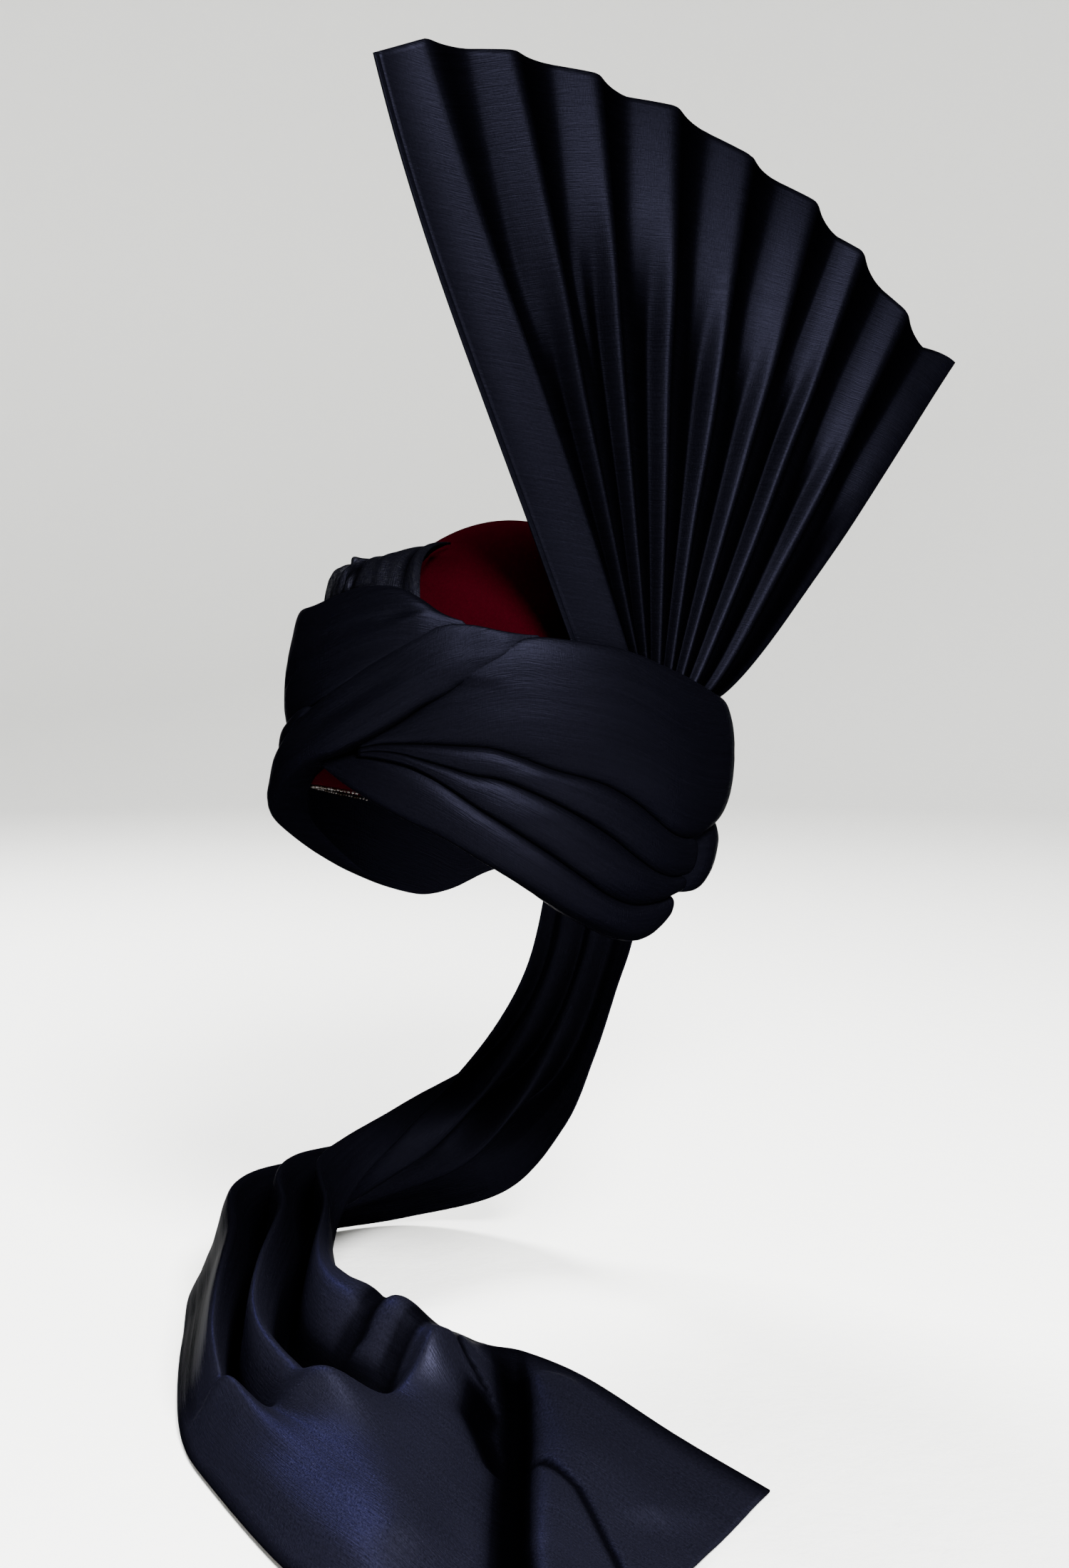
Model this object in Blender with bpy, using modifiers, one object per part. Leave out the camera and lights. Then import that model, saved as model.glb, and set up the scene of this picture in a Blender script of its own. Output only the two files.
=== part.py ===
"""A groom's wound turban: a felt cap, bands of satin wound round it, a pleated fan crest and a long tail.

Metres and degrees. +X is the wearer's left, -Y the forehead, +Z up. The origin is the centre of the
head opening. Angles run round the head from the forehead (0) towards the wearer's left (90), the nape
(180) and the wearer's right (270). The wound cloth goes round more than once, so its angles pass 360.
"""
import math
from collections import namedtuple

import bmesh
import bpy
import numpy as np

NAME = "groom_turban"

# Angle over which an edge between two faces stays sharp
SHARP_ANGLE = 50

# Felt cap: an oval dome on a short wall that comes forward over the brow, cut by a sloping rim
CAP_HALF_WIDTH = 0.0825
CAP_HALF_LENGTH = 0.1015
CAP_CENTRE_Y = 0.008
DOME_BASE = 0.039
DOME_RISE = 0.131
FELT = 0.0025
RIM_HEIGHT = 0.0115
RIM_SLOPE = 0.225
CAP_SIDES = 32
CAP_RINGS = 14
BELOW_EQUATOR = -0.01
DOME_LIMIT = 0.98
BROW = 0.012
BROW_TOP = DOME_BASE + DOME_RISE * math.sin(2 * math.pi / CAP_RINGS)
EDGING_RADIUS = 0.0011
EDGING_DROP = 0.0014
EDGING_POINTS = 56

# Gaps that neighbours keep, and the walls of the wound cloth
FIT_GAP = 0.0008
SEAM_GAP = 0.0009
EDGE_WALL = 0.0045
LIP_WALL = 0.0025
POCKET_DEPTH = 0.024
POCKET_RAMP = 0.014

# Outer form of the wound cloth: how far it reaches to the side, front and back at each height
FormLevel = namedtuple("FormLevel", "height half_width front back")
WRAP_FORM = (
    FormLevel(-0.045, 0.093, 0.115, 0.112),
    FormLevel(-0.030, 0.098, 0.122, 0.117),
    FormLevel(-0.012, 0.103, 0.124, 0.1225),
    FormLevel(0.020, 0.1045, 0.1245, 0.1285),
    FormLevel(0.050, 0.103, 0.120, 0.1315),
    FormLevel(0.075, 0.1015, 0.117, 0.129),
    FormLevel(0.090, 0.100, 0.116, 0.127),
    FormLevel(0.110, 0.097, 0.112, 0.122),
    FormLevel(0.130, 0.092, 0.107, 0.113),
    FormLevel(0.150, 0.083, 0.096, 0.099),
)

# Creases between the wound strips: angle and height
CROSSING_EDGE = ((6, 0.0495), (12, 0.0530), (18, 0.0580), (24, 0.0635), (30, 0.070), (36, 0.0775),
                 (42, 0.085), (49, 0.0935), (56, 0.1015), (63, 0.1080))
BAND_TOP = ((68, 0.109), (75, 0.1080), (84, 0.106), (92, 0.104), (101, 0.100), (111, 0.094),
            (119, 0.0895), (128, 0.0840), (136, 0.0795), (145, 0.0760), (160, 0.0705), (180, 0.066),
            (210, 0.068), (232, 0.078),
            (249, 0.093), (268, 0.104), (285, 0.108), (300, 0.110), (315, 0.112), (331, 0.117),
            (345, 0.122), (358, 0.125), (366, 0.129), (374, 0.133), (381, 0.134), (388, 0.132),
            (394, 0.127), (400, 0.1205), (402, 0.1190))
CROSSING_TIP = ((408, 0.1155), (417, 0.1125), (423, 0.1105))
FIRST_CREASE_LEFT = ((12, 0.0520), (18, 0.0555), (24, 0.0575), (30, 0.058), (37, 0.058), (45, 0.0573),
                     (54, 0.056), (62, 0.0515), (72, 0.045), (81, 0.041), (88, 0.037), (96, 0.030),
                     (105, 0.020), (112, 0.012), (119, 0.0075))
FIRST_CREASE_BACK = ((127, 0.0065), (138, 0.009), (150, 0.011), (180, 0.012), (210, 0.011),
                     (225, 0.009), (234, 0.0092), (238, 0.010))
FIRST_CREASE_RIGHT = ((250, 0.017), (264, 0.030), (272, 0.037), (285, 0.044), (300, 0.051),
                      (315, 0.056), (331, 0.059), (345, 0.064), (360, 0.074))
FIRST_CREASE_FRONT = ((374, 0.086), (382, 0.096), (388, 0.1025), (394, 0.109), (399, 0.1135),
                      (402, 0.1150))
SECOND_CREASE = ((12, 0.0515), (18, 0.0535), (24, 0.0545), (30, 0.0535), (36, 0.0505), (42, 0.0475),
                 (49, 0.0437), (56, 0.0415), (64, 0.036), (70, 0.031), (79, 0.0225), (88, 0.013),
                 (98, 0.001), (107, -0.008), (114, -0.012), (126, -0.013))
THIRD_CREASE = ((6, 0.0485), (12, 0.0518), (18, 0.0520), (26, 0.0505), (33, 0.0475), (41, 0.040),
                (49, 0.030), (59, 0.018), (69, 0.006), (79, -0.0065), (88, -0.0165), (99, -0.0235),
                (106, -0.0245), (114, -0.0235), (120, -0.0215))
RIGHT_CREASE = ((250, 0.006), (264, 0.010), (280, 0.016), (300, 0.028), (315, 0.036),
                (331, 0.043), (345, 0.052), (358, 0.067), (366, 0.0765))
LEFT_BOTTOM = ((6, 0.0455), (12, 0.0390), (21.5, 0.0305), (32, 0.0215), (43, 0.0120), (51, 0.0030),
               (59, -0.0060), (67, -0.0155), (75.5, -0.0245), (85, -0.0325), (93, -0.0385),
               (102, -0.0430), (119, -0.0445))
WIND_BOTTOM = ((126, -0.0225), (138, -0.0245), (150, -0.0240), (165, -0.0210), (180, -0.0180),
               (210, -0.0185), (225, -0.021), (240, -0.027), (255, -0.036), (267, -0.038), (280, -0.033),
               (295, -0.022), (310, -0.007), (322, 0.005), (331, 0.013), (341, 0.0235),
               (352, 0.0365))

# How far a strip's edges turn in at each angle: deep where rolls meet, shallow at a mere crease
EDGE_SINK = ((6, 0.008), (423, 0.008))
CREASE_SINK = ((6, 0.007), (335, 0.007), (365, 0.0025), (423, 0.0025))
LIP_SINK = ((6, 0.007), (423, 0.005))

# How far a strip stands out from the form (or lies under it) at each angle
LEFT_RISE = ((12, -0.006), (30, -0.004), (60, 0.0), (126, 0.0))
WIND_RISE = ((18, -0.006), (30, -0.004), (60, 0.0), (340, 0.0), (372, 0.002), (396, 0.002), (423, -0.003))
LOWER_RISE = ((126, 0.0), (290, 0.0), (318, 0.003), (350, 0.003), (372, 0.002), (396, 0.002), (423, -0.003))

# Pleated fan crest
FAN_FOOT = (0.084, 0.030, 0.100)
FAN_TURN = 6.0
FAN_LEAN = 5.0
FAN_CENTRE_ACROSS = -0.041
FAN_CENTRE_DOWN = 0.144
FAN_CLOTH = 0.0010
FAN_TUCK = 0.014
FAN_TUCK_SHARE = 0.15
FAN_ROWS = 13
FAN_SEAT = 0.0015
# Sideways bow of the front edge and of the last folds: how far, over which folds, and a power that sets how
# high up it is widest
FAN_FRONT_BOW = 0.006
FAN_FRONT_FOLDS = 3
FAN_FRONT_PEAK = 1.6
FAN_BACK_BOW = 0.0155
FAN_BACK_FROM = 11
FAN_BACK_GROWTH = 1.5
FAN_BACK_PEAK = 0.45
# Half the depth of the pleats up the fan's free length
FAN_DEPTHS = ((0.0, 0.0026), (0.2, 0.0060), (0.45, 0.0080), (0.75, 0.0068), (1.0, 0.0048))
# Every fold line, from the front edge to the back edge: its angle round the head where it leaves the band,
# its angle in the fan's own plane and its length from the fan's centre
FanFold = namedtuple("FanFold", "base_angle top_angle reach")
FAN_FOLDS = (
    FanFold(79.5, -14.2, 0.432),
    FanFold(100.2, -10.5, 0.436),
    FanFold(102.3, -6.4, 0.435),
    FanFold(104.0, -3.4, 0.434),
    FanFold(106.0, 0.6, 0.4345),
    FanFold(107.8, 3.8, 0.4325),
    FanFold(110.6, 7.5, 0.431),
    FanFold(113.4, 11.1, 0.4325),
    FanFold(116.1, 15.2, 0.4335),
    FanFold(118.6, 18.7, 0.43),
    FanFold(121.4, 22.5, 0.4335),
    FanFold(124.2, 25.8, 0.433),
    FanFold(127.3, 29.6, 0.433),
    FanFold(130.6, 31.6, 0.431),
    FanFold(134.7, 35.5, 0.4315),
    FanFold(139.0, 37.9, 0.427),
    FanFold(144.3, 41.8, 0.43),
    FanFold(150.0, 44.8, 0.441),
)

# Gathered cloth end standing between the crossing band and the cap
GatherFold = namedtuple("GatherFold", "base_angle top_angle top_radius top_height bow")
GATHER_FOLDS = (
    GatherFold(-14, -12, 0.092, 0.126, 0.002),
    GatherFold(-6, -6, 0.089, 0.136, 0.003),
    GatherFold(2, 0, 0.086, 0.145, 0.004),
    GatherFold(9, 6, 0.082, 0.1475, 0.004),
    GatherFold(17, 12, 0.068, 0.150, 0.003),
    GatherFold(25, 17, 0.055, 0.154, 0.002),
    GatherFold(33, 22, 0.046, 0.156, 0.001),
)
GATHER_CLOTH = 0.0014
GATHER_TUCK = 0.016
GATHER_INSET = 0.004
GATHER_DROP = 0.013
# The crest's place along the cloth, and powers that bend its way up, its way in and its way down
GATHER_CREST = 0.6
GATHER_LEAN = 1.5
GATHER_IN = 0.8
GATHER_DOWN = 1.6
GATHER_SWELL_END = 0.8
GATHER_LEAST_DROP = 0.25
GATHER_WAVES = 7
GATHER_DEPTH = 0.0016
GATHER_WAVE_LIFT = 0.7
GATHER_WAVE_END = 0.1
GATHER_CLEAR = 0.002
GATHER_ROWS = 8

# Tail, in a frame of its own that is turned about Z; heights are above the level that it lies on
TAIL_TURN = 55.0
LYING_LEVEL = -0.258
TAIL_CLOTH = 0.0020
# Each section has the places of both edges, the height of its folds, the height of its swell where the folds
# have spread out, the way that both rise (0 is level, 90 is up) and how tightly it is gathered
TailSection = namedtuple(
    "TailSection", "outer_x outer_y outer_z inner_x inner_y inner_z fold swell lean gathered")
TAIL_SECTIONS = (
    TailSection(0.079, 0.082, 0.2389, 0.030, 0.100, 0.2389, 0.003, 0, 0, 1.0),
    TailSection(0.077, 0.089, 0.198, 0.022, 0.120, 0.198, 0.007, 0, 0, 1.0),
    TailSection(0.066, 0.090, 0.160, 0.012, 0.127, 0.162, 0.010, 0, 0, 1.0),
    TailSection(0.053, 0.088, 0.120, -0.006, 0.124, 0.130, 0.014, 0, 10, 1.0),
    TailSection(0.036, 0.094, 0.078, -0.030, 0.105, 0.103, 0.020, 0, 25, 1.0),
    TailSection(0.002, 0.128, 0.030, -0.055, 0.066, 0.084, 0.026, 0, 45, 1.0),
    TailSection(-0.062, 0.150, 0.006, -0.075, 0.034, 0.068, 0.034, 0, 60, 1.0),
    TailSection(-0.133, 0.115, 0.004, -0.085, 0.004, 0.056, 0.042, 0, 75, 1.0),
    TailSection(-0.170, 0.045, 0.004, -0.088, -0.022, 0.047, 0.046, 0, 85, 1.0),
    TailSection(-0.163, -0.052, 0.004, -0.086, -0.046, 0.040, 0.046, 0, 90, 1.0),
    TailSection(-0.151, -0.135, 0.004, -0.076, -0.068, 0.034, 0.043, 0.006, 90, 0.90),
    TailSection(-0.139, -0.185, 0.004, -0.061, -0.084, 0.031, 0.034, 0.014, 90, 0.74),
    TailSection(-0.121, -0.225, 0.004, -0.044, -0.094, 0.030, 0.004, 0.018, 90, 0.62),
    TailSection(-0.080, -0.300, 0.004, -0.020, -0.106, 0.028, 0.000, 0.019, 90, 0.60),
    TailSection(-0.045, -0.345, 0.004, -0.004, -0.112, 0.024, 0.000, 0.015, 90, 0.60),
    TailSection(-0.012, -0.368, 0.004, 0.014, -0.108, 0.019, 0.000, 0.000, 90, 0.60),
    TailSection(0.012, -0.378, 0.004, 0.044, -0.124, 0.012, 0.000, 0.012, 90, 0.60),
    TailSection(0.028, -0.379, 0.004, 0.084, -0.178, 0.006, 0.000, 0.007, 90, 0.60),
    TailSection(0.042, -0.372, 0.004, 0.120, -0.230, 0.004, 0.000, 0.001, 90, 0.60),
)
# Place across the tail, with the height of its three folds there and of the swell that they spread into
TailFold = namedtuple("TailFold", "across height spread")
TAIL_FOLDS = (
    TailFold(0.0, 0.0, 0.0),
    TailFold(0.14, 0.45, 0.75),
    TailFold(0.28, 1.0, 1.0),
    TailFold(0.43, 0.05, 1.0),
    TailFold(0.57, 1.0, 0.95),
    TailFold(0.74, 0.0, 0.85),
    TailFold(0.89, 0.8, 0.6),
    TailFold(1.0, 0.0, 0.0),
)
# The folds end later towards the inner edge, over these sections
TAIL_LAG = 3.0
TAIL_LAG_FROM = 8.0
TAIL_LAG_OVER = 2.0
TAIL_LAG_ACROSS = 0.2
# How far the spreading keeps to the inner edge
TAIL_SPREAD_POWER = 3
TAIL_COLUMNS = 14
TAIL_ROWS = 46

# Sections of the wound strips, and how a strip's end closes: distance from its end and share of its size
STATION_STEP = 6
STRIP_HALF_POINTS = 6
STRIP_SOFTNESS = 0.75
EndSection = namedtuple("EndSection", "inset share")
END_SECTIONS = (EndSection(0.0, 0.6), EndSection(0.4, 0.8), EndSection(1.6, 0.95))


def turned(table, by):
    """Shift a crease's angles by a whole number of turns or part of one."""
    return tuple((angle + by, height) for angle, height in table)


SIDE_BAND_TOP = CROSSING_EDGE + BAND_TOP
WRAP_TOP = BAND_TOP + CROSSING_TIP
FIRST_CREASE = FIRST_CREASE_LEFT + FIRST_CREASE_BACK + FIRST_CREASE_RIGHT + FIRST_CREASE_FRONT
LOWER_WIND_TOP = FIRST_CREASE_BACK + RIGHT_CREASE + FIRST_CREASE_FRONT + CROSSING_TIP
LOWER_WIND_BOTTOM = WIND_BOTTOM + turned(CROSSING_EDGE, 360)

Strip = namedtuple("Strip", "name start end tucked bottom top rise bottom_sink top_sink")
STRIPS = (
    Strip("side_band", 18, 402, True, FIRST_CREASE, SIDE_BAND_TOP, WIND_RISE, CREASE_SINK, LIP_SINK),
    Strip("pleat_upper", 18, 126, True, SECOND_CREASE, FIRST_CREASE, LEFT_RISE, EDGE_SINK, CREASE_SINK),
    Strip("pleat_middle", 18, 122, True, THIRD_CREASE, SECOND_CREASE, LEFT_RISE, EDGE_SINK, CREASE_SINK),
    Strip("bottom_roll", 6, 119, True, LEFT_BOTTOM, THIRD_CREASE, LEFT_RISE, EDGE_SINK, CREASE_SINK),
    Strip("lower_wind", 126.6, 420, False, LOWER_WIND_BOTTOM, LOWER_WIND_TOP, LOWER_RISE, EDGE_SINK,
          CREASE_SINK),
    Strip("right_pleat", 246, 366, False, LOWER_WIND_TOP, FIRST_CREASE, WIND_RISE, EDGE_SINK, CREASE_SINK),
)


def curve(table, at):
    """Read a smooth curve through a table's rows of place and value."""
    places, values = np.array(table, dtype=float).T
    slopes = np.gradient(values, places)
    at = np.clip(at, places[0], places[-1])
    row = np.clip(np.searchsorted(places, at) - 1, 0, len(places) - 2)
    span = places[row + 1] - places[row]
    t = (at - places[row]) / span
    start = values[row] * (1 + 2 * t) * (1 - t) ** 2 + slopes[row] * span * t * (1 - t) ** 2
    end = values[row + 1] * t * t * (3 - 2 * t) - slopes[row + 1] * span * t * t * (1 - t)
    return start + end


def column(rows, place, value):
    """Pick two named columns of a table, for curve to read."""
    return tuple((getattr(row, place), getattr(row, value)) for row in rows)


def read_rows(rows, place):
    """Read every column of a table at a place counted in rows."""
    return {name: curve([(i, getattr(row, name)) for i, row in enumerate(rows)], place)
            for name in rows[0]._fields}


def ease(t):
    """Go smoothly from 0 to 1."""
    t = np.clip(t, 0, 1)
    return t * t * (3 - 2 * t)


def softened(value):
    """Flatten the middle of a round profile, so that its edges turn in more tightly."""
    return np.sign(value) * np.abs(value) ** STRIP_SOFTNESS


def oval_radius(angle, half_width, front, back):
    """Distance from the axis to an oval with those reaches, in the direction of angle."""
    half_length = (front + back) / 2
    offset = (back - front) / 2
    turn = np.radians(angle)
    a = (np.sin(turn) / half_width) ** 2 + (np.cos(turn) / half_length) ** 2
    b = offset * np.cos(turn) / half_length ** 2
    c = (offset / half_length) ** 2 - 1
    return (np.sqrt(b * b - a * c) - b) / a


def cap_radius(angle, height):
    """Outer radius of the felt cap."""
    rise = np.clip((height - DOME_BASE) / DOME_RISE, 0, DOME_LIMIT)
    share = np.sqrt(1 - rise ** 2)
    half_length = CAP_HALF_LENGTH * share
    front = half_length - CAP_CENTRE_Y + BROW * np.clip((BROW_TOP - height) / (BROW_TOP - DOME_BASE), 0, 1)
    return oval_radius(angle, CAP_HALF_WIDTH * share, front, half_length + CAP_CENTRE_Y)


def form_radius(angle, height):
    """Outer radius of the wound cloth."""
    reaches = [curve(column(WRAP_FORM, "height", reach), height) for reach in ("half_width", "front", "back")]
    return oval_radius(angle, *reaches)


def wrap_top(angle):
    """Height of the wound cloth's upper edge."""
    first = WRAP_TOP[0][0]
    return curve(WRAP_TOP, first + (angle - first) % 360)


def inner_radius(angle, height):
    """Where the wound cloth stops inside: against the cap, or as a thin free edge near the top."""
    against_cap = cap_radius(angle, height) + FIT_GAP
    free_edge = form_radius(angle, height) - EDGE_WALL
    share = ease((wrap_top(angle) - height - POCKET_DEPTH) / POCKET_RAMP)
    return np.maximum(against_cap, free_edge + (against_cap - free_edge) * share)


def fan_foot_radius(angle, height):
    """Middle of the fan's pleats where they stand against the inside of the band's free edge."""
    return form_radius(angle, height) - EDGE_WALL - FAN_DEPTHS[0][1] - FAN_CLOTH / 2 - FAN_SEAT


def around(angle, radius, height):
    """Turn an angle, radius and height into a point."""
    turn = np.radians(angle)
    return np.stack(np.broadcast_arrays(radius * np.sin(turn), -radius * np.cos(turn), height), axis=-1)


def make_material(name, color, roughness, metallic=0.0):
    """Make a plain Principled material."""
    material = bpy.data.materials.new(name)
    material.use_nodes = True
    shader = material.node_tree.nodes["Principled BSDF"]
    shader.inputs["Base Color"].default_value = (*color, 1.0)
    shader.inputs["Roughness"].default_value = roughness
    shader.inputs["Metallic"].default_value = metallic
    return material


def place_object(obj, name, material, collection):
    """Name an object, shade it smooth, give it its material and move it to the turban's collection."""
    obj.name = name
    obj.data.name = name
    obj.data.materials.append(material)
    if obj.type == "MESH":
        obj.data.shade_smooth()
        obj.data.set_sharp_from_angle(angle=math.radians(SHARP_ANGLE))
    for holder in list(obj.users_collection):
        holder.objects.unlink(obj)
    collection.objects.link(obj)
    return obj


def from_bmesh(bm, name, material, collection):
    """Make an object from a bmesh."""
    mesh = bpy.data.meshes.new(name)
    bm.to_mesh(mesh)
    bm.free()
    obj = bpy.data.objects.new(name, mesh)
    bpy.context.scene.collection.objects.link(obj)
    return place_object(obj, name, material, collection)


def thicken(obj, wall, offset=0.0):
    """Give an open surface a wall."""
    solidify = obj.modifiers.new("wall", "SOLIDIFY")
    solidify.thickness = wall
    solidify.offset = offset
    return solidify


def shaped_grid(name, columns, rows, shape, material, collection):
    """Bend a grid into the surface that shape gives for the shares across and along it."""
    bpy.ops.mesh.primitive_grid_add(x_subdivisions=columns, y_subdivisions=rows, size=2)
    obj = bpy.context.object
    flat = np.empty(len(obj.data.vertices) * 3)
    obj.data.vertices.foreach_get("co", flat)
    shares = (flat.reshape(-1, 3)[:, :2] + 1) / 2
    obj.data.vertices.foreach_set("co", shape(shares[:, 0], shares[:, 1]).ravel())
    obj.data.update()
    return place_object(obj, name, material, collection)


def build_cap(material, collection):
    """Make the felt dome, with its wall carried down to the sloping rim."""
    bm = bmesh.new()
    bmesh.ops.create_uvsphere(bm, u_segments=CAP_SIDES, v_segments=CAP_RINGS, radius=1.0)
    below = [vertex for vertex in bm.verts if vertex.co.z < BELOW_EQUATOR]
    bmesh.ops.delete(bm, geom=below, context="VERTS")
    bmesh.ops.scale(bm, verts=bm.verts, vec=(CAP_HALF_WIDTH, CAP_HALF_LENGTH, DOME_RISE))
    bmesh.ops.translate(bm, verts=bm.verts, vec=(0, CAP_CENTRE_Y, DOME_BASE))
    for vertex in (vertex for vertex in bm.verts if vertex.co.z < BROW_TOP):
        angle = math.degrees(math.atan2(vertex.co.x, -vertex.co.y))
        vertex.co = around(angle, cap_radius(angle, vertex.co.z), vertex.co.z)
    equator = [edge for edge in bm.edges if edge.is_boundary]
    wall = bmesh.ops.extrude_edge_only(bm, edges=equator)["geom"]
    for vertex in (item for item in wall if isinstance(item, bmesh.types.BMVert)):
        vertex.co.z = RIM_HEIGHT - RIM_SLOPE * vertex.co.y
    bmesh.ops.recalc_face_normals(bm, faces=bm.faces)
    cap = from_bmesh(bm, "cap", material, collection)
    thicken(cap, FELT, offset=-1.0)


def build_cap_edging(material, collection):
    """Make the thin bead edging that follows the cap's rim, just under it."""
    data = bpy.data.curves.new("cap_edging", "CURVE")
    data.dimensions = "3D"
    data.bevel_depth = EDGING_RADIUS
    data.bevel_resolution = 1
    spline = data.splines.new("POLY")
    spline.points.add(EDGING_POINTS - 1)
    spline.use_cyclic_u = True
    for point, angle in zip(spline.points, np.linspace(0, 360, EDGING_POINTS, endpoint=False)):
        x, y, _ = around(angle, cap_radius(angle, RIM_HEIGHT) - FELT / 2, 0)
        point.co = (x, y, RIM_HEIGHT - RIM_SLOPE * y - EDGING_DROP, 1.0)
    obj = bpy.data.objects.new("cap_edging", data)
    bpy.context.scene.collection.objects.link(obj)
    place_object(obj, "cap_edging", material, collection)


def strip_section(strip, angle, share):
    """Outer and inner side of a wound strip at one angle; share shrinks it towards an end."""
    low = curve(strip.bottom, angle) + SEAM_GAP / 2
    high = curve(strip.top, angle) - SEAM_GAP / 2
    turn = np.radians(np.linspace(-90, 90, STRIP_HALF_POINTS + 1))
    heights = (low + high) / 2 + (high - low) / 2 * share * softened(np.sin(turn))
    inner = inner_radius(angle, heights)
    outer = np.maximum(form_radius(angle, heights) + curve(strip.rise, angle), inner + EDGE_WALL)
    sink = np.where(turn < 0, curve(strip.bottom_sink, angle), curve(strip.top_sink, angle))
    sink = np.minimum(sink, outer - inner - LIP_WALL)
    outer = outer - sink * (1 - softened(np.cos(turn)))
    outer = inner + (outer - inner) * share
    return around(angle, outer, heights), around(angle, inner, heights)


def strip_stations(strip):
    """Angles of a strip's sections, each with the share of its full size that it has there."""
    first = math.floor(strip.start / STATION_STEP) + 1
    last = math.ceil(strip.end / STATION_STEP)
    stations = [(step * STATION_STEP, 1.0) for step in range(first, last)]
    ends = [] if strip.tucked else [(strip.start + end.inset, end.share) for end in END_SECTIONS]
    before = ends or [(strip.start, 1.0)]
    after = [(strip.end - end.inset, end.share) for end in reversed(END_SECTIONS)]
    return before + stations + after


def build_strip(strip, material, collection):
    """Loft one wound strip through its sections and close both ends."""
    bm = bmesh.new()
    rings = []
    for angle, share in strip_stations(strip):
        outer, inner = strip_section(strip, angle, share)
        rings.append(([bm.verts.new(point) for point in outer], [bm.verts.new(point) for point in inner]))
    for (outer, inner), (next_outer, next_inner) in zip(rings, rings[1:]):
        for side, next_side in ((outer, next_outer), (inner, next_inner)):
            for i in range(STRIP_HALF_POINTS):
                bm.faces.new((side[i], side[i + 1], next_side[i + 1], next_side[i]))
        # The ledges along a crease are split the same way on both of its sides, so that they never cross
        for i in (0, -1):
            bm.faces.new((outer[i], inner[i], next_inner[i]))
            bm.faces.new((outer[i], next_inner[i], next_outer[i]))
    for outer, inner in (rings[0], rings[-1]):
        for i in range(STRIP_HALF_POINTS):
            bm.faces.new((outer[i], outer[i + 1], inner[i + 1], inner[i]))
    bmesh.ops.recalc_face_normals(bm, faces=bm.faces)
    from_bmesh(bm, strip.name, material, collection)


def fan_axes():
    """Directions of the fan's plane: across it towards the nape, up it, and out of it."""
    turn, lean = math.radians(FAN_TURN), math.radians(FAN_LEAN)
    out = np.array((math.cos(turn) * math.cos(lean), math.sin(turn) * math.cos(lean), math.sin(lean)))
    across = np.array((-math.sin(turn), math.cos(turn), 0.0))
    return across, np.cross(out, across), out


def fan_surface(fold, along):
    """Surface of the fan: fold counts the fold lines, along runs from the tucked foot to the top."""
    across_axis, up_axis, out_axis = fan_axes()
    last = len(FAN_FOLDS) - 1
    base_angle, top_angle, reach = (
        np.interp(fold, np.arange(last + 1), values) for values in zip(*FAN_FOLDS))
    spread = np.radians(top_angle)
    top = (np.array(FAN_FOOT)
           + np.outer(FAN_CENTRE_ACROSS + reach * np.sin(spread), across_axis)
           + np.outer(reach * np.cos(spread) - FAN_CENTRE_DOWN, up_axis))
    edge_height = wrap_top(base_angle)
    foot_height = edge_height - FAN_TUCK
    edge = around(base_angle, fan_foot_radius(base_angle, edge_height), edge_height)
    foot = around(base_angle, fan_foot_radius(base_angle, foot_height), foot_height)
    tucked = np.clip(along / FAN_TUCK_SHARE, 0, 1)[:, None]
    free = np.clip((along - FAN_TUCK_SHARE) / (1 - FAN_TUCK_SHARE), 0, 1)
    ground = foot + (edge - foot) * tucked + (top - edge) * free[:, None]
    near_front = np.clip(1 - fold / FAN_FRONT_FOLDS, 0, 1)
    near_back = np.clip((fold - FAN_BACK_FROM) / (last - FAN_BACK_FROM), 0, 1) ** FAN_BACK_GROWTH
    front_bow = FAN_FRONT_BOW * near_front * np.sin(np.pi * free ** FAN_FRONT_PEAK)
    back_bow = FAN_BACK_BOW * near_back * np.sin(np.pi * free ** FAN_BACK_PEAK)
    ground = ground + np.outer(back_bow - front_bow, across_axis)
    zigzag = 1 - 2 * np.abs((fold + 1) % 2 - 1)
    at_edges = np.minimum(1, np.minimum(fold, last - fold))
    depth = curve(FAN_DEPTHS, free) * -zigzag * at_edges
    return ground + depth[:, None] * out_axis


def build_fan(material, collection):
    """Make the fan of stiffened pleats that stands between the band and the cap."""
    last = len(FAN_FOLDS) - 1

    def shape(across, along):
        return fan_surface(across * last, along)

    fan = shaped_grid("fan_crest", last, FAN_ROWS, shape, material, collection)
    thicken(fan, FAN_CLOTH).use_even_offset = True


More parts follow.
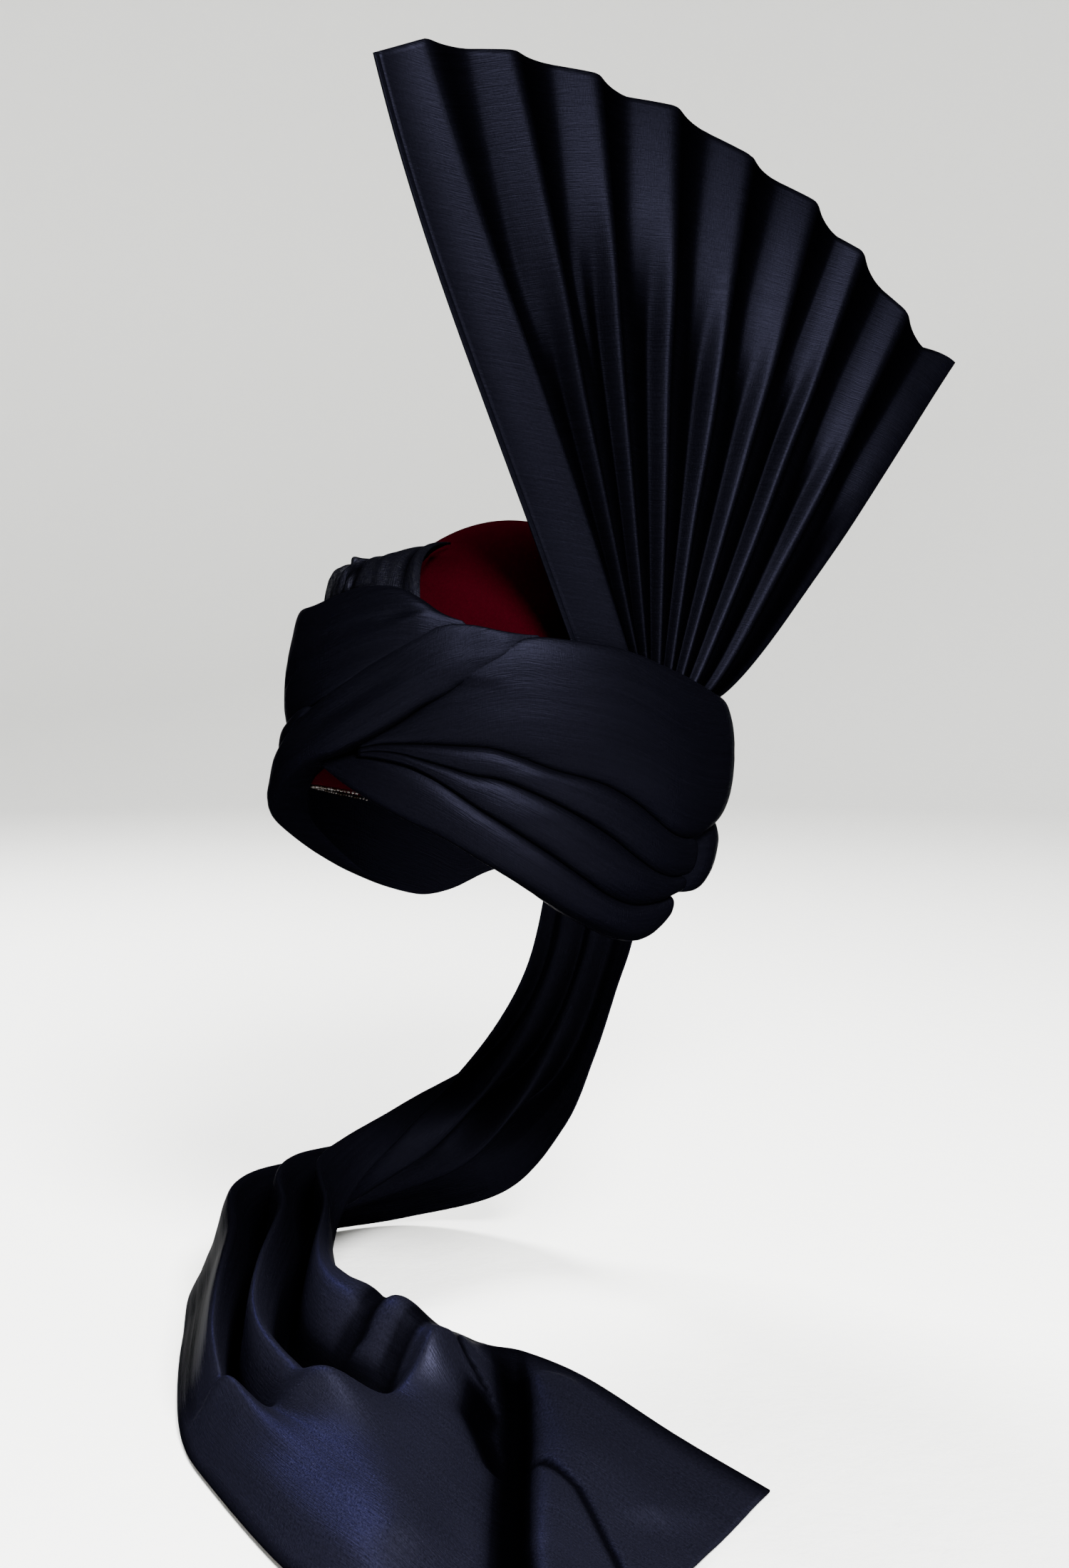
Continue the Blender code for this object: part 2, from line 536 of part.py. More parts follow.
def gathered_surface(across, along):
    """Surface of the gathered end: out of the pocket, over a soft crest and down onto the cap."""
    fold = read_rows(GATHER_FOLDS, across * (len(GATHER_FOLDS) - 1))
    rise = np.clip(along / GATHER_CREST, 0, 1)
    over = np.clip((along - GATHER_CREST) / (1 - GATHER_CREST), 0, 1)
    base_height = wrap_top(fold["base_angle"]) - GATHER_TUCK
    base_radius = form_radius(fold["base_angle"], base_height) - EDGE_WALL - GATHER_INSET
    end_height = fold["top_height"] - GATHER_DROP * np.clip(1 - across, GATHER_LEAST_DROP, 1)
    end_radius = cap_radius(fold["top_angle"], end_height) + FIT_GAP + GATHER_CLOTH
    angle = fold["base_angle"] + (fold["top_angle"] - fold["base_angle"]) * ease(rise)
    radius = base_radius + (fold["top_radius"] - base_radius) * rise ** GATHER_LEAN
    radius = radius + (end_radius - fold["top_radius"]) * over ** GATHER_IN
    height = base_height + (fold["top_height"] - base_height) * np.sin(np.pi / 2 * rise)
    height = height + (end_height - fold["top_height"]) * over ** GATHER_DOWN
    swell = fold["bow"] * np.sin(np.pi * np.clip(along / GATHER_SWELL_END, 0, 1))
    fade = np.sin(np.pi * np.clip(along, GATHER_WAVE_END, 1 - GATHER_WAVE_END))
    wave = GATHER_DEPTH * np.sin(2 * np.pi * GATHER_WAVES * across) * fade
    radius = radius + swell + wave
    height = height + GATHER_WAVE_LIFT * wave
    radius = np.maximum(radius, cap_radius(angle, height) + FIT_GAP + GATHER_CLOTH)
    inside_band = form_radius(angle, height) - EDGE_WALL - FIT_GAP - 2 * GATHER_CLOTH
    radius = np.where(height < wrap_top(angle) + GATHER_CLEAR, np.minimum(radius, inside_band), radius)
    return around(angle, radius, height)


def build_gathered_end(material, collection):
    """Make the gathered cloth end that stands at the top of the front."""
    columns = 4 * GATHER_WAVES
    end = shaped_grid("gathered_end", columns, GATHER_ROWS, gathered_surface, material, collection)
    thicken(end, GATHER_CLOTH)


def tail_surface(across, along):
    """Surface of the tail: across runs from its outer edge to its inner edge, along from the nape."""
    place = along * (len(TAIL_SECTIONS) - 1)
    read = read_rows(TAIL_SECTIONS, place)
    outer = np.stack([read["outer_x"], read["outer_y"], read["outer_z"]], axis=-1)
    inner = np.stack([read["inner_x"], read["inner_y"], read["inner_z"]], axis=-1)
    chord = inner - outer
    level = np.hypot(chord[..., 0], chord[..., 1])
    sideways = np.stack([chord[..., 1] / level, -chord[..., 0] / level, np.zeros(level.shape)], axis=-1)
    lean = np.radians(read["lean"])[..., None]
    normal = sideways * np.cos(lean) + np.array((0.0, 0.0, 1.0)) * np.sin(lean)
    fold = read_rows(TAIL_FOLDS, across * (len(TAIL_FOLDS) - 1))
    share = fold["across"] * (read["gathered"] + (1 - read["gathered"]) * across ** TAIL_SPREAD_POWER)
    lag = TAIL_LAG * (across - TAIL_LAG_ACROSS) * ease((place - TAIL_LAG_FROM) / TAIL_LAG_OVER)
    fold_height = read_rows(TAIL_SECTIONS, place - lag)["fold"]
    spread_out = 1 - np.clip(fold_height / max(section.fold for section in TAIL_SECTIONS), 0, 1)
    lift = fold["height"] * fold_height + fold["spread"] * read["swell"] * spread_out
    local = outer + chord * share[..., None] + normal * lift[..., None]
    turn = math.radians(TAIL_TURN)
    x = local[..., 0] * math.cos(turn) - local[..., 1] * math.sin(turn)
    y = local[..., 0] * math.sin(turn) + local[..., 1] * math.cos(turn)
    return np.stack([x, y, local[..., 2] + LYING_LEVEL], axis=-1)


def build_tail(material, collection):
    """Make the long tail: it hangs from the nape, sweeps round the wearer's right and lies in front."""
    tail = shaped_grid("tail", TAIL_COLUMNS, TAIL_ROWS, tail_surface, material, collection)
    thicken(tail, TAIL_CLOTH)


def main():
    for obj in list(bpy.data.objects):
        bpy.data.objects.remove(obj, do_unlink=True)
    collection = bpy.data.collections.new(NAME)
    bpy.context.scene.collection.children.link(collection)
    satin = make_material("navy_satin", (0.012, 0.016, 0.036), 0.45)
    felt = make_material("maroon_felt", (0.055, 0.001, 0.006), 0.9)
    beads = make_material("pale_gold_beads", (0.55, 0.46, 0.30), 0.35, 0.8)
    zari = make_material("grey_metal_thread", (0.07, 0.075, 0.075), 0.4, 0.5)
    build_cap(felt, collection)
    build_cap_edging(beads, collection)
    for strip in STRIPS:
        build_strip(strip, satin, collection)
    build_gathered_end(zari, collection)
    build_fan(satin, collection)
    build_tail(satin, collection)


main()
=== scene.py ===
"""The looks of a groom's wound turban: felt cap, bead edging, wound satin, gathered end, fan crest and tail.

Metres and degrees. +X is the wearer's left, -Y the forehead, +Z up. Angles run round the head from the
forehead (0) towards the wearer's left (90), the nape (180) and the wearer's right (270). The wound cloth
goes round more than once, so its angles pass 360.
"""
import math
from collections import namedtuple

import bpy
import numpy as np
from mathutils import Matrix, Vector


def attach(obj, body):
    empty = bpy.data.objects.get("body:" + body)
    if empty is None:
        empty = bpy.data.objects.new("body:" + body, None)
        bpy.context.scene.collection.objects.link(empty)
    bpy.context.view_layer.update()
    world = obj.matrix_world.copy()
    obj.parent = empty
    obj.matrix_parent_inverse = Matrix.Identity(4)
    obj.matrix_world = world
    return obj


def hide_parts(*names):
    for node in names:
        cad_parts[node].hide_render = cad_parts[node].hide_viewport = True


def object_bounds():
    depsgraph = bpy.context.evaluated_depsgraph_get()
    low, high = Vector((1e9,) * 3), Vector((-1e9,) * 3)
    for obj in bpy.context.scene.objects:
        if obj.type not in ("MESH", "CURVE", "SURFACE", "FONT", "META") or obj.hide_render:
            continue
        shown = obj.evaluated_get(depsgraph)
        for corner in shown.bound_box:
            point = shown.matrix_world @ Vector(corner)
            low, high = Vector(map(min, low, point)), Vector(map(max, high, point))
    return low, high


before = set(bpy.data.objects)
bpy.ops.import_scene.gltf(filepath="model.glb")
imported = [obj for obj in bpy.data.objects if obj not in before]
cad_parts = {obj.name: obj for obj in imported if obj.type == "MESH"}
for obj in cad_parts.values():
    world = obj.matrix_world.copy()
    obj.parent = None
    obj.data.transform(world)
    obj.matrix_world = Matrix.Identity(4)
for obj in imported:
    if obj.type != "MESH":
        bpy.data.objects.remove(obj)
CAD_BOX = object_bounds()

bl_info = {
    "name": "Groom's Turban",
    "version": (1, 0, 0),
    "blender": (4, 5, 0),
    "location": "3D View > Sidebar > Turban",
    "description": "Builds the cloth, felt and beads of a wound turban round its packed frame",
    "category": "Add Mesh",
}

# Unevenness: its height, how many of its swells go to one unit across and along, and its seed
Swell = namedtuple("Swell", "height across along seed")
NOISE_COLUMNS, NOISE_ROWS = 97, 89

# Felt cap: an oval dome on a short wall that comes forward over the brow, cut by a sloping rim
CAP_HALF_WIDTH = 0.0825
CAP_HALF_LENGTH = 0.1015
CAP_CENTRE_Y = 0.008
DOME_BASE = 0.039
DOME_RISE = 0.131
DOME_LIMIT = 0.98
FELT = 0.0025
RIM_HEIGHT = 0.0115
RIM_SLOPE = 0.225
BROW = 0.012
BROW_TOP = 0.0958
CAP_SEGMENTS, CAP_RINGS = 128, 72
# The sphere that the cap is made from is cut off at this share of its radius below its middle
WALL_SHARE = 0.2
FELT_DENTS = Swell(0.0035, 1 / 14, 40, 21)

# Beads along the rim: how far under it they hang, and how they differ from each other
RIM_POINTS = 2001
BEAD_DROP = 0.0014
BEAD_SEGMENTS, BEAD_RINGS = 8, 6
BEAD_SHIFT = 0.12
BEAD_SMALLEST = 0.88
BEAD_TONE_POWER = 0.8
BEAD_SEED = 5

# Wound cloth: its gap to the cap, the overlap of its strips, its walls and the pocket at its top
FIT_GAP = 0.0008
SEAM_OVERLAP = 0.0014
EDGE_WALL = 0.0045
LIP_WALL = 0.0025
POCKET_DEPTH = 0.024
POCKET_RAMP = 0.014
# Radius at which angles are measured as lengths along the cloth
HEAD_RADIUS = 0.105

# Outer form of the wound cloth: its reach to the side, front and back at each height
FormLevel = namedtuple("FormLevel", "height half_width front back")
WRAP_FORM = (
    FormLevel(-0.045, 0.093, 0.115, 0.112),
    FormLevel(-0.030, 0.098, 0.122, 0.117),
    FormLevel(-0.012, 0.103, 0.124, 0.1225),
    FormLevel(0.020, 0.1045, 0.1245, 0.1285),
    FormLevel(0.050, 0.103, 0.120, 0.1315),
    FormLevel(0.075, 0.1015, 0.117, 0.129),
    FormLevel(0.090, 0.100, 0.116, 0.127),
    FormLevel(0.110, 0.097, 0.112, 0.122),
    FormLevel(0.130, 0.092, 0.107, 0.113),
    FormLevel(0.150, 0.083, 0.096, 0.099),
)

# Creases between the wound strips: angle and height
CROSSING_EDGE = ((6, 0.0495), (12, 0.0530), (18, 0.0580), (24, 0.0635), (30, 0.070), (36, 0.0775),
                 (42, 0.085), (49, 0.0935), (56, 0.1015), (63, 0.1080))
BAND_TOP = ((68, 0.109), (75, 0.1080), (84, 0.106), (92, 0.104), (101, 0.100), (111, 0.094),
            (119, 0.0895), (128, 0.0840), (136, 0.0795), (145, 0.0760), (160, 0.0705), (180, 0.066),
            (210, 0.068), (232, 0.078),
            (249, 0.093), (268, 0.104), (285, 0.108), (300, 0.110), (315, 0.112), (331, 0.117),
            (345, 0.122), (358, 0.125), (366, 0.129), (374, 0.133), (381, 0.134), (388, 0.132),
            (394, 0.127), (400, 0.1205), (402, 0.1190))
CROSSING_TIP = ((408, 0.1150), (417, 0.1121), (423, 0.1105), (430, 0.1097))
FIRST_CREASE_LEFT = ((12, 0.0520), (18, 0.0555), (24, 0.0575), (30, 0.058), (37, 0.058), (45, 0.0573),
                     (54, 0.056), (62, 0.0515), (72, 0.045), (81, 0.041), (88, 0.037), (96, 0.030),
                     (105, 0.020), (112, 0.012), (119, 0.0075))
FIRST_CREASE_BACK = ((127, 0.0065), (138, 0.009), (150, 0.011), (180, 0.012), (210, 0.011),
                     (225, 0.009), (234, 0.0092), (238, 0.010))
FIRST_CREASE_RIGHT = ((250, 0.017), (264, 0.030), (272, 0.037), (285, 0.044), (300, 0.051),
                      (315, 0.056), (331, 0.059), (345, 0.064), (360, 0.074))
FIRST_CREASE_FRONT = ((374, 0.086), (382, 0.096), (388, 0.1025), (394, 0.109), (399, 0.1135),
                      (402, 0.1150))
SECOND_CREASE = ((12, 0.0515), (18, 0.0535), (24, 0.0545), (30, 0.0535), (36, 0.0505), (42, 0.0475),
                 (49, 0.0437), (56, 0.0415), (64, 0.036), (70, 0.031), (79, 0.0225), (88, 0.013),
                 (98, 0.001), (107, -0.008), (114, -0.012), (126, -0.013))
THIRD_CREASE = ((6, 0.0485), (12, 0.0518), (18, 0.0520), (26, 0.0505), (33, 0.0475), (41, 0.040),
                (49, 0.030), (59, 0.018), (69, 0.006), (79, -0.0065), (88, -0.0165), (99, -0.0235),
                (106, -0.0245), (114, -0.0235), (120, -0.0215))
RIGHT_CREASE = ((250, 0.006), (264, 0.010), (280, 0.016), (300, 0.028), (315, 0.036),
                (331, 0.043), (345, 0.052), (358, 0.067), (366, 0.0765))
LEFT_BOTTOM = ((6, 0.0455), (12, 0.0390), (21.5, 0.0305), (32, 0.0215), (43, 0.0120), (51, 0.0030),
               (59, -0.0060), (67, -0.0155), (75.5, -0.0245), (85, -0.0325), (93, -0.0385),
               (102, -0.0430), (109, -0.0435), (114, -0.0410), (117, -0.0370), (119, -0.0320))
WIND_BOTTOM = ((126, -0.0225), (138, -0.0245), (150, -0.0240), (165, -0.0210), (180, -0.0180),
               (210, -0.0185), (225, -0.021), (240, -0.027), (255, -0.036), (267, -0.038), (280, -0.033),
               (295, -0.022), (310, -0.007), (322, 0.005), (331, 0.013), (341, 0.0235),
               (352, 0.0365))

# How far a strip's edges turn in, and how far it stands out from the form, at each angle
EDGE_SINK = ((6, 0.008), (423, 0.008))
CREASE_SINK = ((6, 0.007), (335, 0.007), (365, 0.0025), (423, 0.0025))
LIP_SINK = ((6, 0.007), (423, 0.005))
LEFT_RISE = ((12, -0.006), (30, -0.004), (60, 0.0), (126, 0.0))
WIND_RISE = ((18, -0.006), (30, -0.004), (60, 0.0), (340, 0.0), (372, 0.002), (396, 0.002), (423, -0.003))
LOWER_RISE = ((126, 0.0), (290, 0.0), (318, 0.003), (350, 0.003), (372, 0.002), (396, 0.002), (423, -0.003))


def turned(table, by, lower=0.0):
    """Shift a crease's angles by a whole number of turns or part of one, and lower it."""
    return tuple((angle + by, height - lower) for angle, height in table)


SIDE_BAND_TOP = CROSSING_EDGE + BAND_TOP
SIDE_BAND_TIP = ((407, 0.1162),)
WRAP_TOP = BAND_TOP + CROSSING_TIP
FIRST_CREASE = FIRST_CREASE_LEFT + FIRST_CREASE_BACK + FIRST_CREASE_RIGHT + FIRST_CREASE_FRONT
LOWER_WIND_TOP = FIRST_CREASE_BACK + RIGHT_CREASE + FIRST_CREASE_FRONT + CROSSING_TIP
# From this row on, the lower wind's end is tucked under the band's upper edge, and this much lower
TUCKED_UNDER = 6
TUCKED_LOWER = 0.0022
LOWER_WIND_BOTTOM = (WIND_BOTTOM + turned(CROSSING_EDGE[:TUCKED_UNDER], 360)
                     + turned(CROSSING_EDGE[TUCKED_UNDER:] + BAND_TOP[:2], 360, TUCKED_LOWER))

# Wound strips. A tucked strip starts under another one, a thinned one ends in a thin tip, and ripple is the
# height of the fine drag lines that tension leaves along the cloth
Strip = namedtuple("Strip", "node start end tucked thinned bottom top rise bottom_sink top_sink ripple seed")
STRIPS = (
    Strip("side_band", 18, 407, True, True, FIRST_CREASE, SIDE_BAND_TOP + SIDE_BAND_TIP,
          WIND_RISE, CREASE_SINK, LIP_SINK, 0.0004, 11),
    Strip("pleat_upper", 18, 126, True, False, SECOND_CREASE, FIRST_CREASE,
          LEFT_RISE, EDGE_SINK, CREASE_SINK, 0.0005, 12),
    Strip("pleat_middle", 18, 122, True, False, THIRD_CREASE, SECOND_CREASE,
          LEFT_RISE, EDGE_SINK, CREASE_SINK, 0.0005, 13),
    Strip("bottom_roll", 6, 119, True, False, LEFT_BOTTOM, THIRD_CREASE,
          LEFT_RISE, EDGE_SINK, CREASE_SINK, 0.0005, 14),
    Strip("lower_wind", 126.6, 429, False, True, LOWER_WIND_BOTTOM, LOWER_WIND_TOP,
          LOWER_RISE, EDGE_SINK, CREASE_SINK, 0.0006, 15),
    Strip("right_pleat", 246, 372.5, False, True, LOWER_WIND_TOP, FIRST_CREASE,
          WIND_RISE, EDGE_SINK, CREASE_SINK, 0.0005, 16),
)
# Degrees from one section of a strip to the next, points on either side of a section, and its squareness
STATION_STEP = 1.25
STRIP_HALF_POINTS = 34
STRIP_SOFTNESS = 0.75
# The last sections before an end: degrees from the end, and the share of the full size
EndSection = namedtuple("EndSection", "inset share")
END_SECTIONS = (EndSection(0.0, 0.35), EndSection(0.25, 0.6), EndSection(0.7, 0.8), EndSection(1.4, 0.93))
# A thinned tip is lowered by this much, over this many degrees
TIP_TUCK = 0.0035
TIP_TUCK_OVER = 14.0
# A strip thins out over this many degrees before a free end, down to a share of its thickness
END_THINNING = 13.0
END_THINNEST = 0.22
# Drag lines: their swells to a metre round the cloth and up it, and the slant of the broad ones
DRAG_BROAD = Swell(1.0, 9, 75, 0)
DRAG_FINE = Swell(0.45, 16, 210, 40)
DRAG_SLANT = 2 / 75

# Soft creases that cross a strip: two ends as angle and height, with width and depth
SoftCrease = namedtuple("SoftCrease", "node angle height next_angle next_height width depth")
SOFT_CREASES = (
    SoftCrease("side_band", 344, 0.082, 371, 0.112, 0.0035, 0.0018),
    SoftCrease("side_band", 371, 0.112, 392, 0.122, 0.0035, 0.0018),
    SoftCrease("side_band", 384, 0.118, 396, 0.124, 0.0022, 0.0010),
    SoftCrease("lower_wind", 366, 0.066, 392, 0.096, 0.0045, 0.0010),
    SoftCrease("lower_wind", 372, 0.070, 400, 0.101, 0.0035, 0.0008),
)
# A soft crease fades over this share of its length, from a remainder at its ends. The ridge beside it has a
# share of its depth and stands off by so many widths, and the crease is narrower than the ridge
SOFT_FADE = 0.3
SOFT_END = 0.35
SOFT_RIDGE = 0.55
SOFT_RIDGE_ASIDE = 1.3
SOFT_NARROW = 2.2

# Pleated fan crest: its foot, the way its plane is turned and leans, and the centre that its folds meet in
FAN_FOOT = (0.084, 0.030, 0.100)
FAN_TURN = 6.0
FAN_LEAN = 5.0
FAN_CENTRE_ACROSS = -0.041
FAN_CENTRE_DOWN = 0.144
# Thickness of the fan's cloth in the solids, and the room between its foot and the band
FAN_CAD_CLOTH = 0.0010
FAN_SEAT = 0.0015
# Length that is tucked behind the band, and the share of the rows of points that it takes
FAN_TUCK = 0.014
FAN_TUCK_SHARE = 0.10
# The front edge bows forward over the first folds, and the back edge backwards over the last ones
FAN_FRONT_BOW = 0.006
FAN_FRONT_FOLDS = 3
FAN_FRONT_PEAK = 1.6
FAN_BACK_BOW = 0.0155
FAN_BACK_FROM = 11
FAN_BACK_GROWTH = 1.5
FAN_BACK_PEAK = 0.45
# Half the depth of the pleats up the fan's free length
FAN_DEPTHS = ((0.0, 0.0026), (0.2, 0.0060), (0.45, 0.0080), (0.75, 0.0068), (1.0, 0.0048))
# Every fold line, from the front edge to the back edge: its angle round the head where it leaves the band,
# its angle in the fan's own plane and its length from the fan's centre
FanFold = namedtuple("FanFold", "base_angle top_angle reach")
FAN_FOLDS = (
    FanFold(79.5, -14.2, 0.432),
    FanFold(100.2, -10.5, 0.436),
    FanFold(102.3, -6.4, 0.435),
    FanFold(104.0, -3.4, 0.434),
    FanFold(106.0, 0.6, 0.4345),
    FanFold(107.8, 3.8, 0.4325),
    FanFold(110.6, 7.5, 0.431),
    FanFold(113.4, 11.1, 0.4325),
    FanFold(116.1, 15.2, 0.4335),
    FanFold(118.6, 18.7, 0.43),
    FanFold(121.4, 22.5, 0.4335),
    FanFold(124.2, 25.8, 0.433),
    FanFold(127.3, 29.6, 0.433),
    FanFold(130.6, 31.6, 0.431),
    FanFold(134.7, 35.5, 0.4315),
    FanFold(139.0, 37.9, 0.427),
    FanFold(144.3, 41.8, 0.43),
    FanFold(150.0, 44.8, 0.441),
)
# Points across a panel, across the hemmed front panel, and up the fan
FAN_PANEL_COLUMNS = 16
FAN_HEM_COLUMNS = 44
FAN_ROWS = 96
# The pleats' profile across a pair of panels, first the broad one and then its steep flank: at the top, and
# lower down, where the broad panel has sunk into a hollow and only a narrow ridge is left. The shade columns
# are painted shade: the share by which the satin's colour is darkened on the flanks and in the hollows
PleatPoint = namedtuple("PleatPoint", "place top low top_shade low_shade")
PLEAT_PROFILE = (
    PleatPoint(0.0, -1.0, -0.62, 0.55, 0.90),
    PleatPoint(0.22, -0.56, -0.80, 0.10, 0.95),
    PleatPoint(0.30, -0.40, -0.86, 0.0, 0.95),
    PleatPoint(0.50, 0.0, -1.0, 0.0, 0.95),
    PleatPoint(0.62, 0.24, -0.80, 0.0, 0.70),
    PleatPoint(0.78, 0.56, 0.10, 0.0, 0.10),
    PleatPoint(0.92, 0.84, 0.85, 0.0, 0.0),
    PleatPoint(1.03, 0.95, 1.0, 0.05, 0.0),
    PleatPoint(1.12, 0.66, 0.62, 0.85, 0.40),
    PleatPoint(1.24, 0.22, 0.08, 0.95, 0.95),
    PleatPoint(1.50, -0.50, -0.12, 0.90, 0.55),
    PleatPoint(1.75, -0.88, -0.36, 0.80, 0.80),
    PleatPoint(2.0, -1.0, -0.62, 0.55, 0.90),
)
# Half the depth of the sunken pleats up the fan's free length
FAN_LOW_DEPTHS = ((0.0, 0.0024), (0.2, 0.0034), (0.45, 0.0048), (0.75, 0.0058), (1.0, 0.0048))
# Steps in folds over which the pleats and their shade are rounded
FAN_ROUNDING = 0.055
FAN_SHADE_ROUNDING = 0.04
# Where up the fan each pair's hollow ends, from the front pair to the back one, and over what length it fades
FAN_HOLLOW_TIPS = (0.69, 0.69, 0.815, 0.82, 0.78, 0.75, 0.785, 0.70, 0.63)
FAN_HOLLOW_FADE = 0.27
# Painted shade on the middle pleats, which face away from the light: its share, and their folds
FAN_MIDDLE_SHADE = 0.30
FAN_MIDDLE_FROM = 1.2
FAN_MIDDLE_TO = 9
FAN_MIDDLE_FADE = 4
# How far the painted shade of the flanks reaches over the next panel towards the back, in folds, and where it
# grows to this
FAN_DARK_SPREAD = 0.26
FAN_SPREAD_FROM = 5
FAN_SPREAD_OVER = 9
# The front panel has no painted shade up to here
FAN_PLAIN_TO = 0.6
# Slight buckles of the pleats, and the fold that they are counted from
FAN_BUCKLE = Swell(0.0010, 1, 4, 31)
FAN_BUCKLE_START = 7
# Stitched hem of the front panel: its place across the panel, width and depth
FAN_HEM_PLACE = 0.12
FAN_HEM_WIDTH = 0.022
FAN_HEM_DEPTH = 0.0007

# Gathered cloth end: where each of its lines leaves the band, where it crests, and how far it bows out
GatherFold = namedtuple("GatherFold", "base_angle top_angle top_radius top_height bow")
GATHER_FOLDS = (
    GatherFold(-14, -12, 0.088, 0.121, 0.000),
    GatherFold(-6, -6, 0.087, 0.130, 0.001),
    GatherFold(2, 0, 0.0855, 0.143, 0.003),
    GatherFold(9, 6, 0.082, 0.1475, 0.004),
    GatherFold(17, 12, 0.068, 0.150, 0.003),
    GatherFold(25, 16.5, 0.052, 0.1545, 0.001),
    GatherFold(33, 20.5, 0.0415, 0.1565, 0.0005),
)
# Puffs and creases of the gathered end: place across and along it, height, and the reach both ways
Puff = namedtuple("Puff", "across along height wide long")
PUFFS = (
    Puff(0.06, 0.38, 0.0026, 0.035, 0.15),
    Puff(0.11, 0.44, -0.0024, 0.016, 0.20),
    Puff(0.16, 0.46, 0.0026, 0.030, 0.14),
    Puff(0.205, 0.44, -0.0026, 0.016, 0.20),
    Puff(0.29, 0.48, 0.0042, 0.060, 0.17),
    Puff(0.275, 0.54, -0.0020, 0.014, 0.09),
    Puff(0.39, 0.50, -0.0034, 0.030, 0.20),
    Puff(0.45, 0.57, 0.0032, 0.035, 0.07),
    Puff(0.52, 0.50, -0.0026, 0.030, 0.18),
    Puff(0.72, 0.45, 0.0016, 0.120, 0.22),
    Puff(0.86, 0.42, -0.0014, 0.030, 0.22),
    Puff(0.95, 0.42, 0.0012, 0.035, 0.25),
)
# The small folds are calm towards the cap: from where, over what share of the width, and what is left of them
GATHER_CALM_FROM = 0.48
GATHER_CALM_OVER = 0.14
GATHER_CALM = 0.22
# Small folds: how many, their share of the gather depth, how they wander and crumple, and where they fade
GATHER_FOLD_COUNT = 9
GATHER_FOLD_SHARE = 0.45
GATHER_WANDER = Swell(0.6, 9, 3, 51)
GATHER_CRUMPLE = Swell(0.5, 30, 8, 52)
GATHER_WAVE_END = 0.1
GATHER_WAVE_LIFT = 0.7
# How deep the cloth starts in the pocket, what it keeps from the band, and how far it comes down on the cap.
# At the far side a share of that drop is gone, and the end has swung back by some degrees
GATHER_TUCK = 0.016
GATHER_INSET = 0.004
GATHER_DROP = 0.013
GATHER_LEVEL = 0.6
GATHER_SWEEP = 15.0
# Rounded first corner: its width, and the share of the height that is left at the edge
GATHER_CORNER = 0.05
GATHER_CORNER_RISE = 0.35
# Where along the cloth it crests, and how it leans out, swells, comes back in and goes down
GATHER_CREST = 0.6
GATHER_LEAN = 1.5
GATHER_SWELL_END = 0.8
GATHER_IN = 0.8
GATHER_DOWN = 1.6
# What it keeps clear of the cap at its end and elsewhere, of the band, and of the band's upper edge
GATHER_END_CLEAR = 0.0014
GATHER_CAP_CLEAR = 0.0010
GATHER_BAND_CLEAR = 0.0020
GATHER_EDGE_CLEAR = 0.002
# Height over which painted shade goes from the darkest hollows to the lightest folds, and the points across
# and along
GATHER_SHADE_DEPTH = 0.0035
GATHER_COLUMNS = 150
GATHER_ROWS = 70

# Tail, in a frame of its own that is turned about Z; heights are above the level that it lies on
TAIL_TURN = 55.0
LYING_LEVEL = -0.258
# Each section has the places of both edges, the height of its folds, the height of its swell where the folds
# have spread out, the way that both rise (0 is level, 90 is up) and how tightly it is gathered
TailSection = namedtuple(
    "TailSection", "outer_x outer_y outer_z inner_x inner_y inner_z fold swell lean gathered")
TAIL_SECTIONS = (
    TailSection(0.079, 0.082, 0.253, 0.030, 0.100, 0.253, 0.003, 0, 0, 1.0),
    TailSection(0.077, 0.089, 0.198, 0.022, 0.120, 0.198, 0.007, 0, 0, 1.0),
    TailSection(0.066, 0.090, 0.160, 0.012, 0.127, 0.162, 0.010, 0, 0, 1.0),
    TailSection(0.053, 0.088, 0.120, -0.006, 0.124, 0.130, 0.014, 0, 10, 1.0),
    TailSection(0.036, 0.094, 0.078, -0.030, 0.105, 0.103, 0.020, 0, 25, 1.0),
    TailSection(0.002, 0.128, 0.030, -0.055, 0.066, 0.084, 0.026, 0, 45, 1.0),
    TailSection(-0.062, 0.150, 0.006, -0.075, 0.034, 0.068, 0.034, 0, 60, 1.0),
    TailSection(-0.133, 0.115, 0.004, -0.085, 0.004, 0.056, 0.042, 0, 75, 1.0),
    TailSection(-0.170, 0.045, 0.004, -0.088, -0.022, 0.047, 0.046, 0, 85, 1.15),
    TailSection(-0.163, -0.052, 0.004, -0.086, -0.046, 0.040, 0.046, 0, 90, 1.2),
    TailSection(-0.151, -0.135, 0.004, -0.076, -0.068, 0.034, 0.043, 0.006, 90, 0.80),
    TailSection(-0.139, -0.185, 0.004, -0.061, -0.084, 0.031, 0.034, 0.014, 90, 0.52),
    TailSection(-0.121, -0.225, 0.004, -0.044, -0.094, 0.030, 0.004, 0.018, 90, 0.46),
    TailSection(-0.080, -0.300, 0.004, -0.020, -0.106, 0.028, 0.000, 0.019, 90, 0.60),
    TailSection(-0.045, -0.345, 0.004, -0.004, -0.112, 0.024, 0.000, 0.015, 90, 0.60),
    TailSection(-0.012, -0.368, 0.004, 0.014, -0.108, 0.019, 0.000, 0.000, 90, 0.60),
    TailSection(0.012, -0.378, 0.004, 0.044, -0.124, 0.012, 0.000, 0.012, 90, 0.60),
    TailSection(0.028, -0.379, 0.004, 0.084, -0.178, 0.006, 0.000, 0.007, 90, 0.60),
    TailSection(0.042, -0.372, 0.004, 0.120, -0.230, 0.004, 0.000, 0.001, 90, 0.60),
)
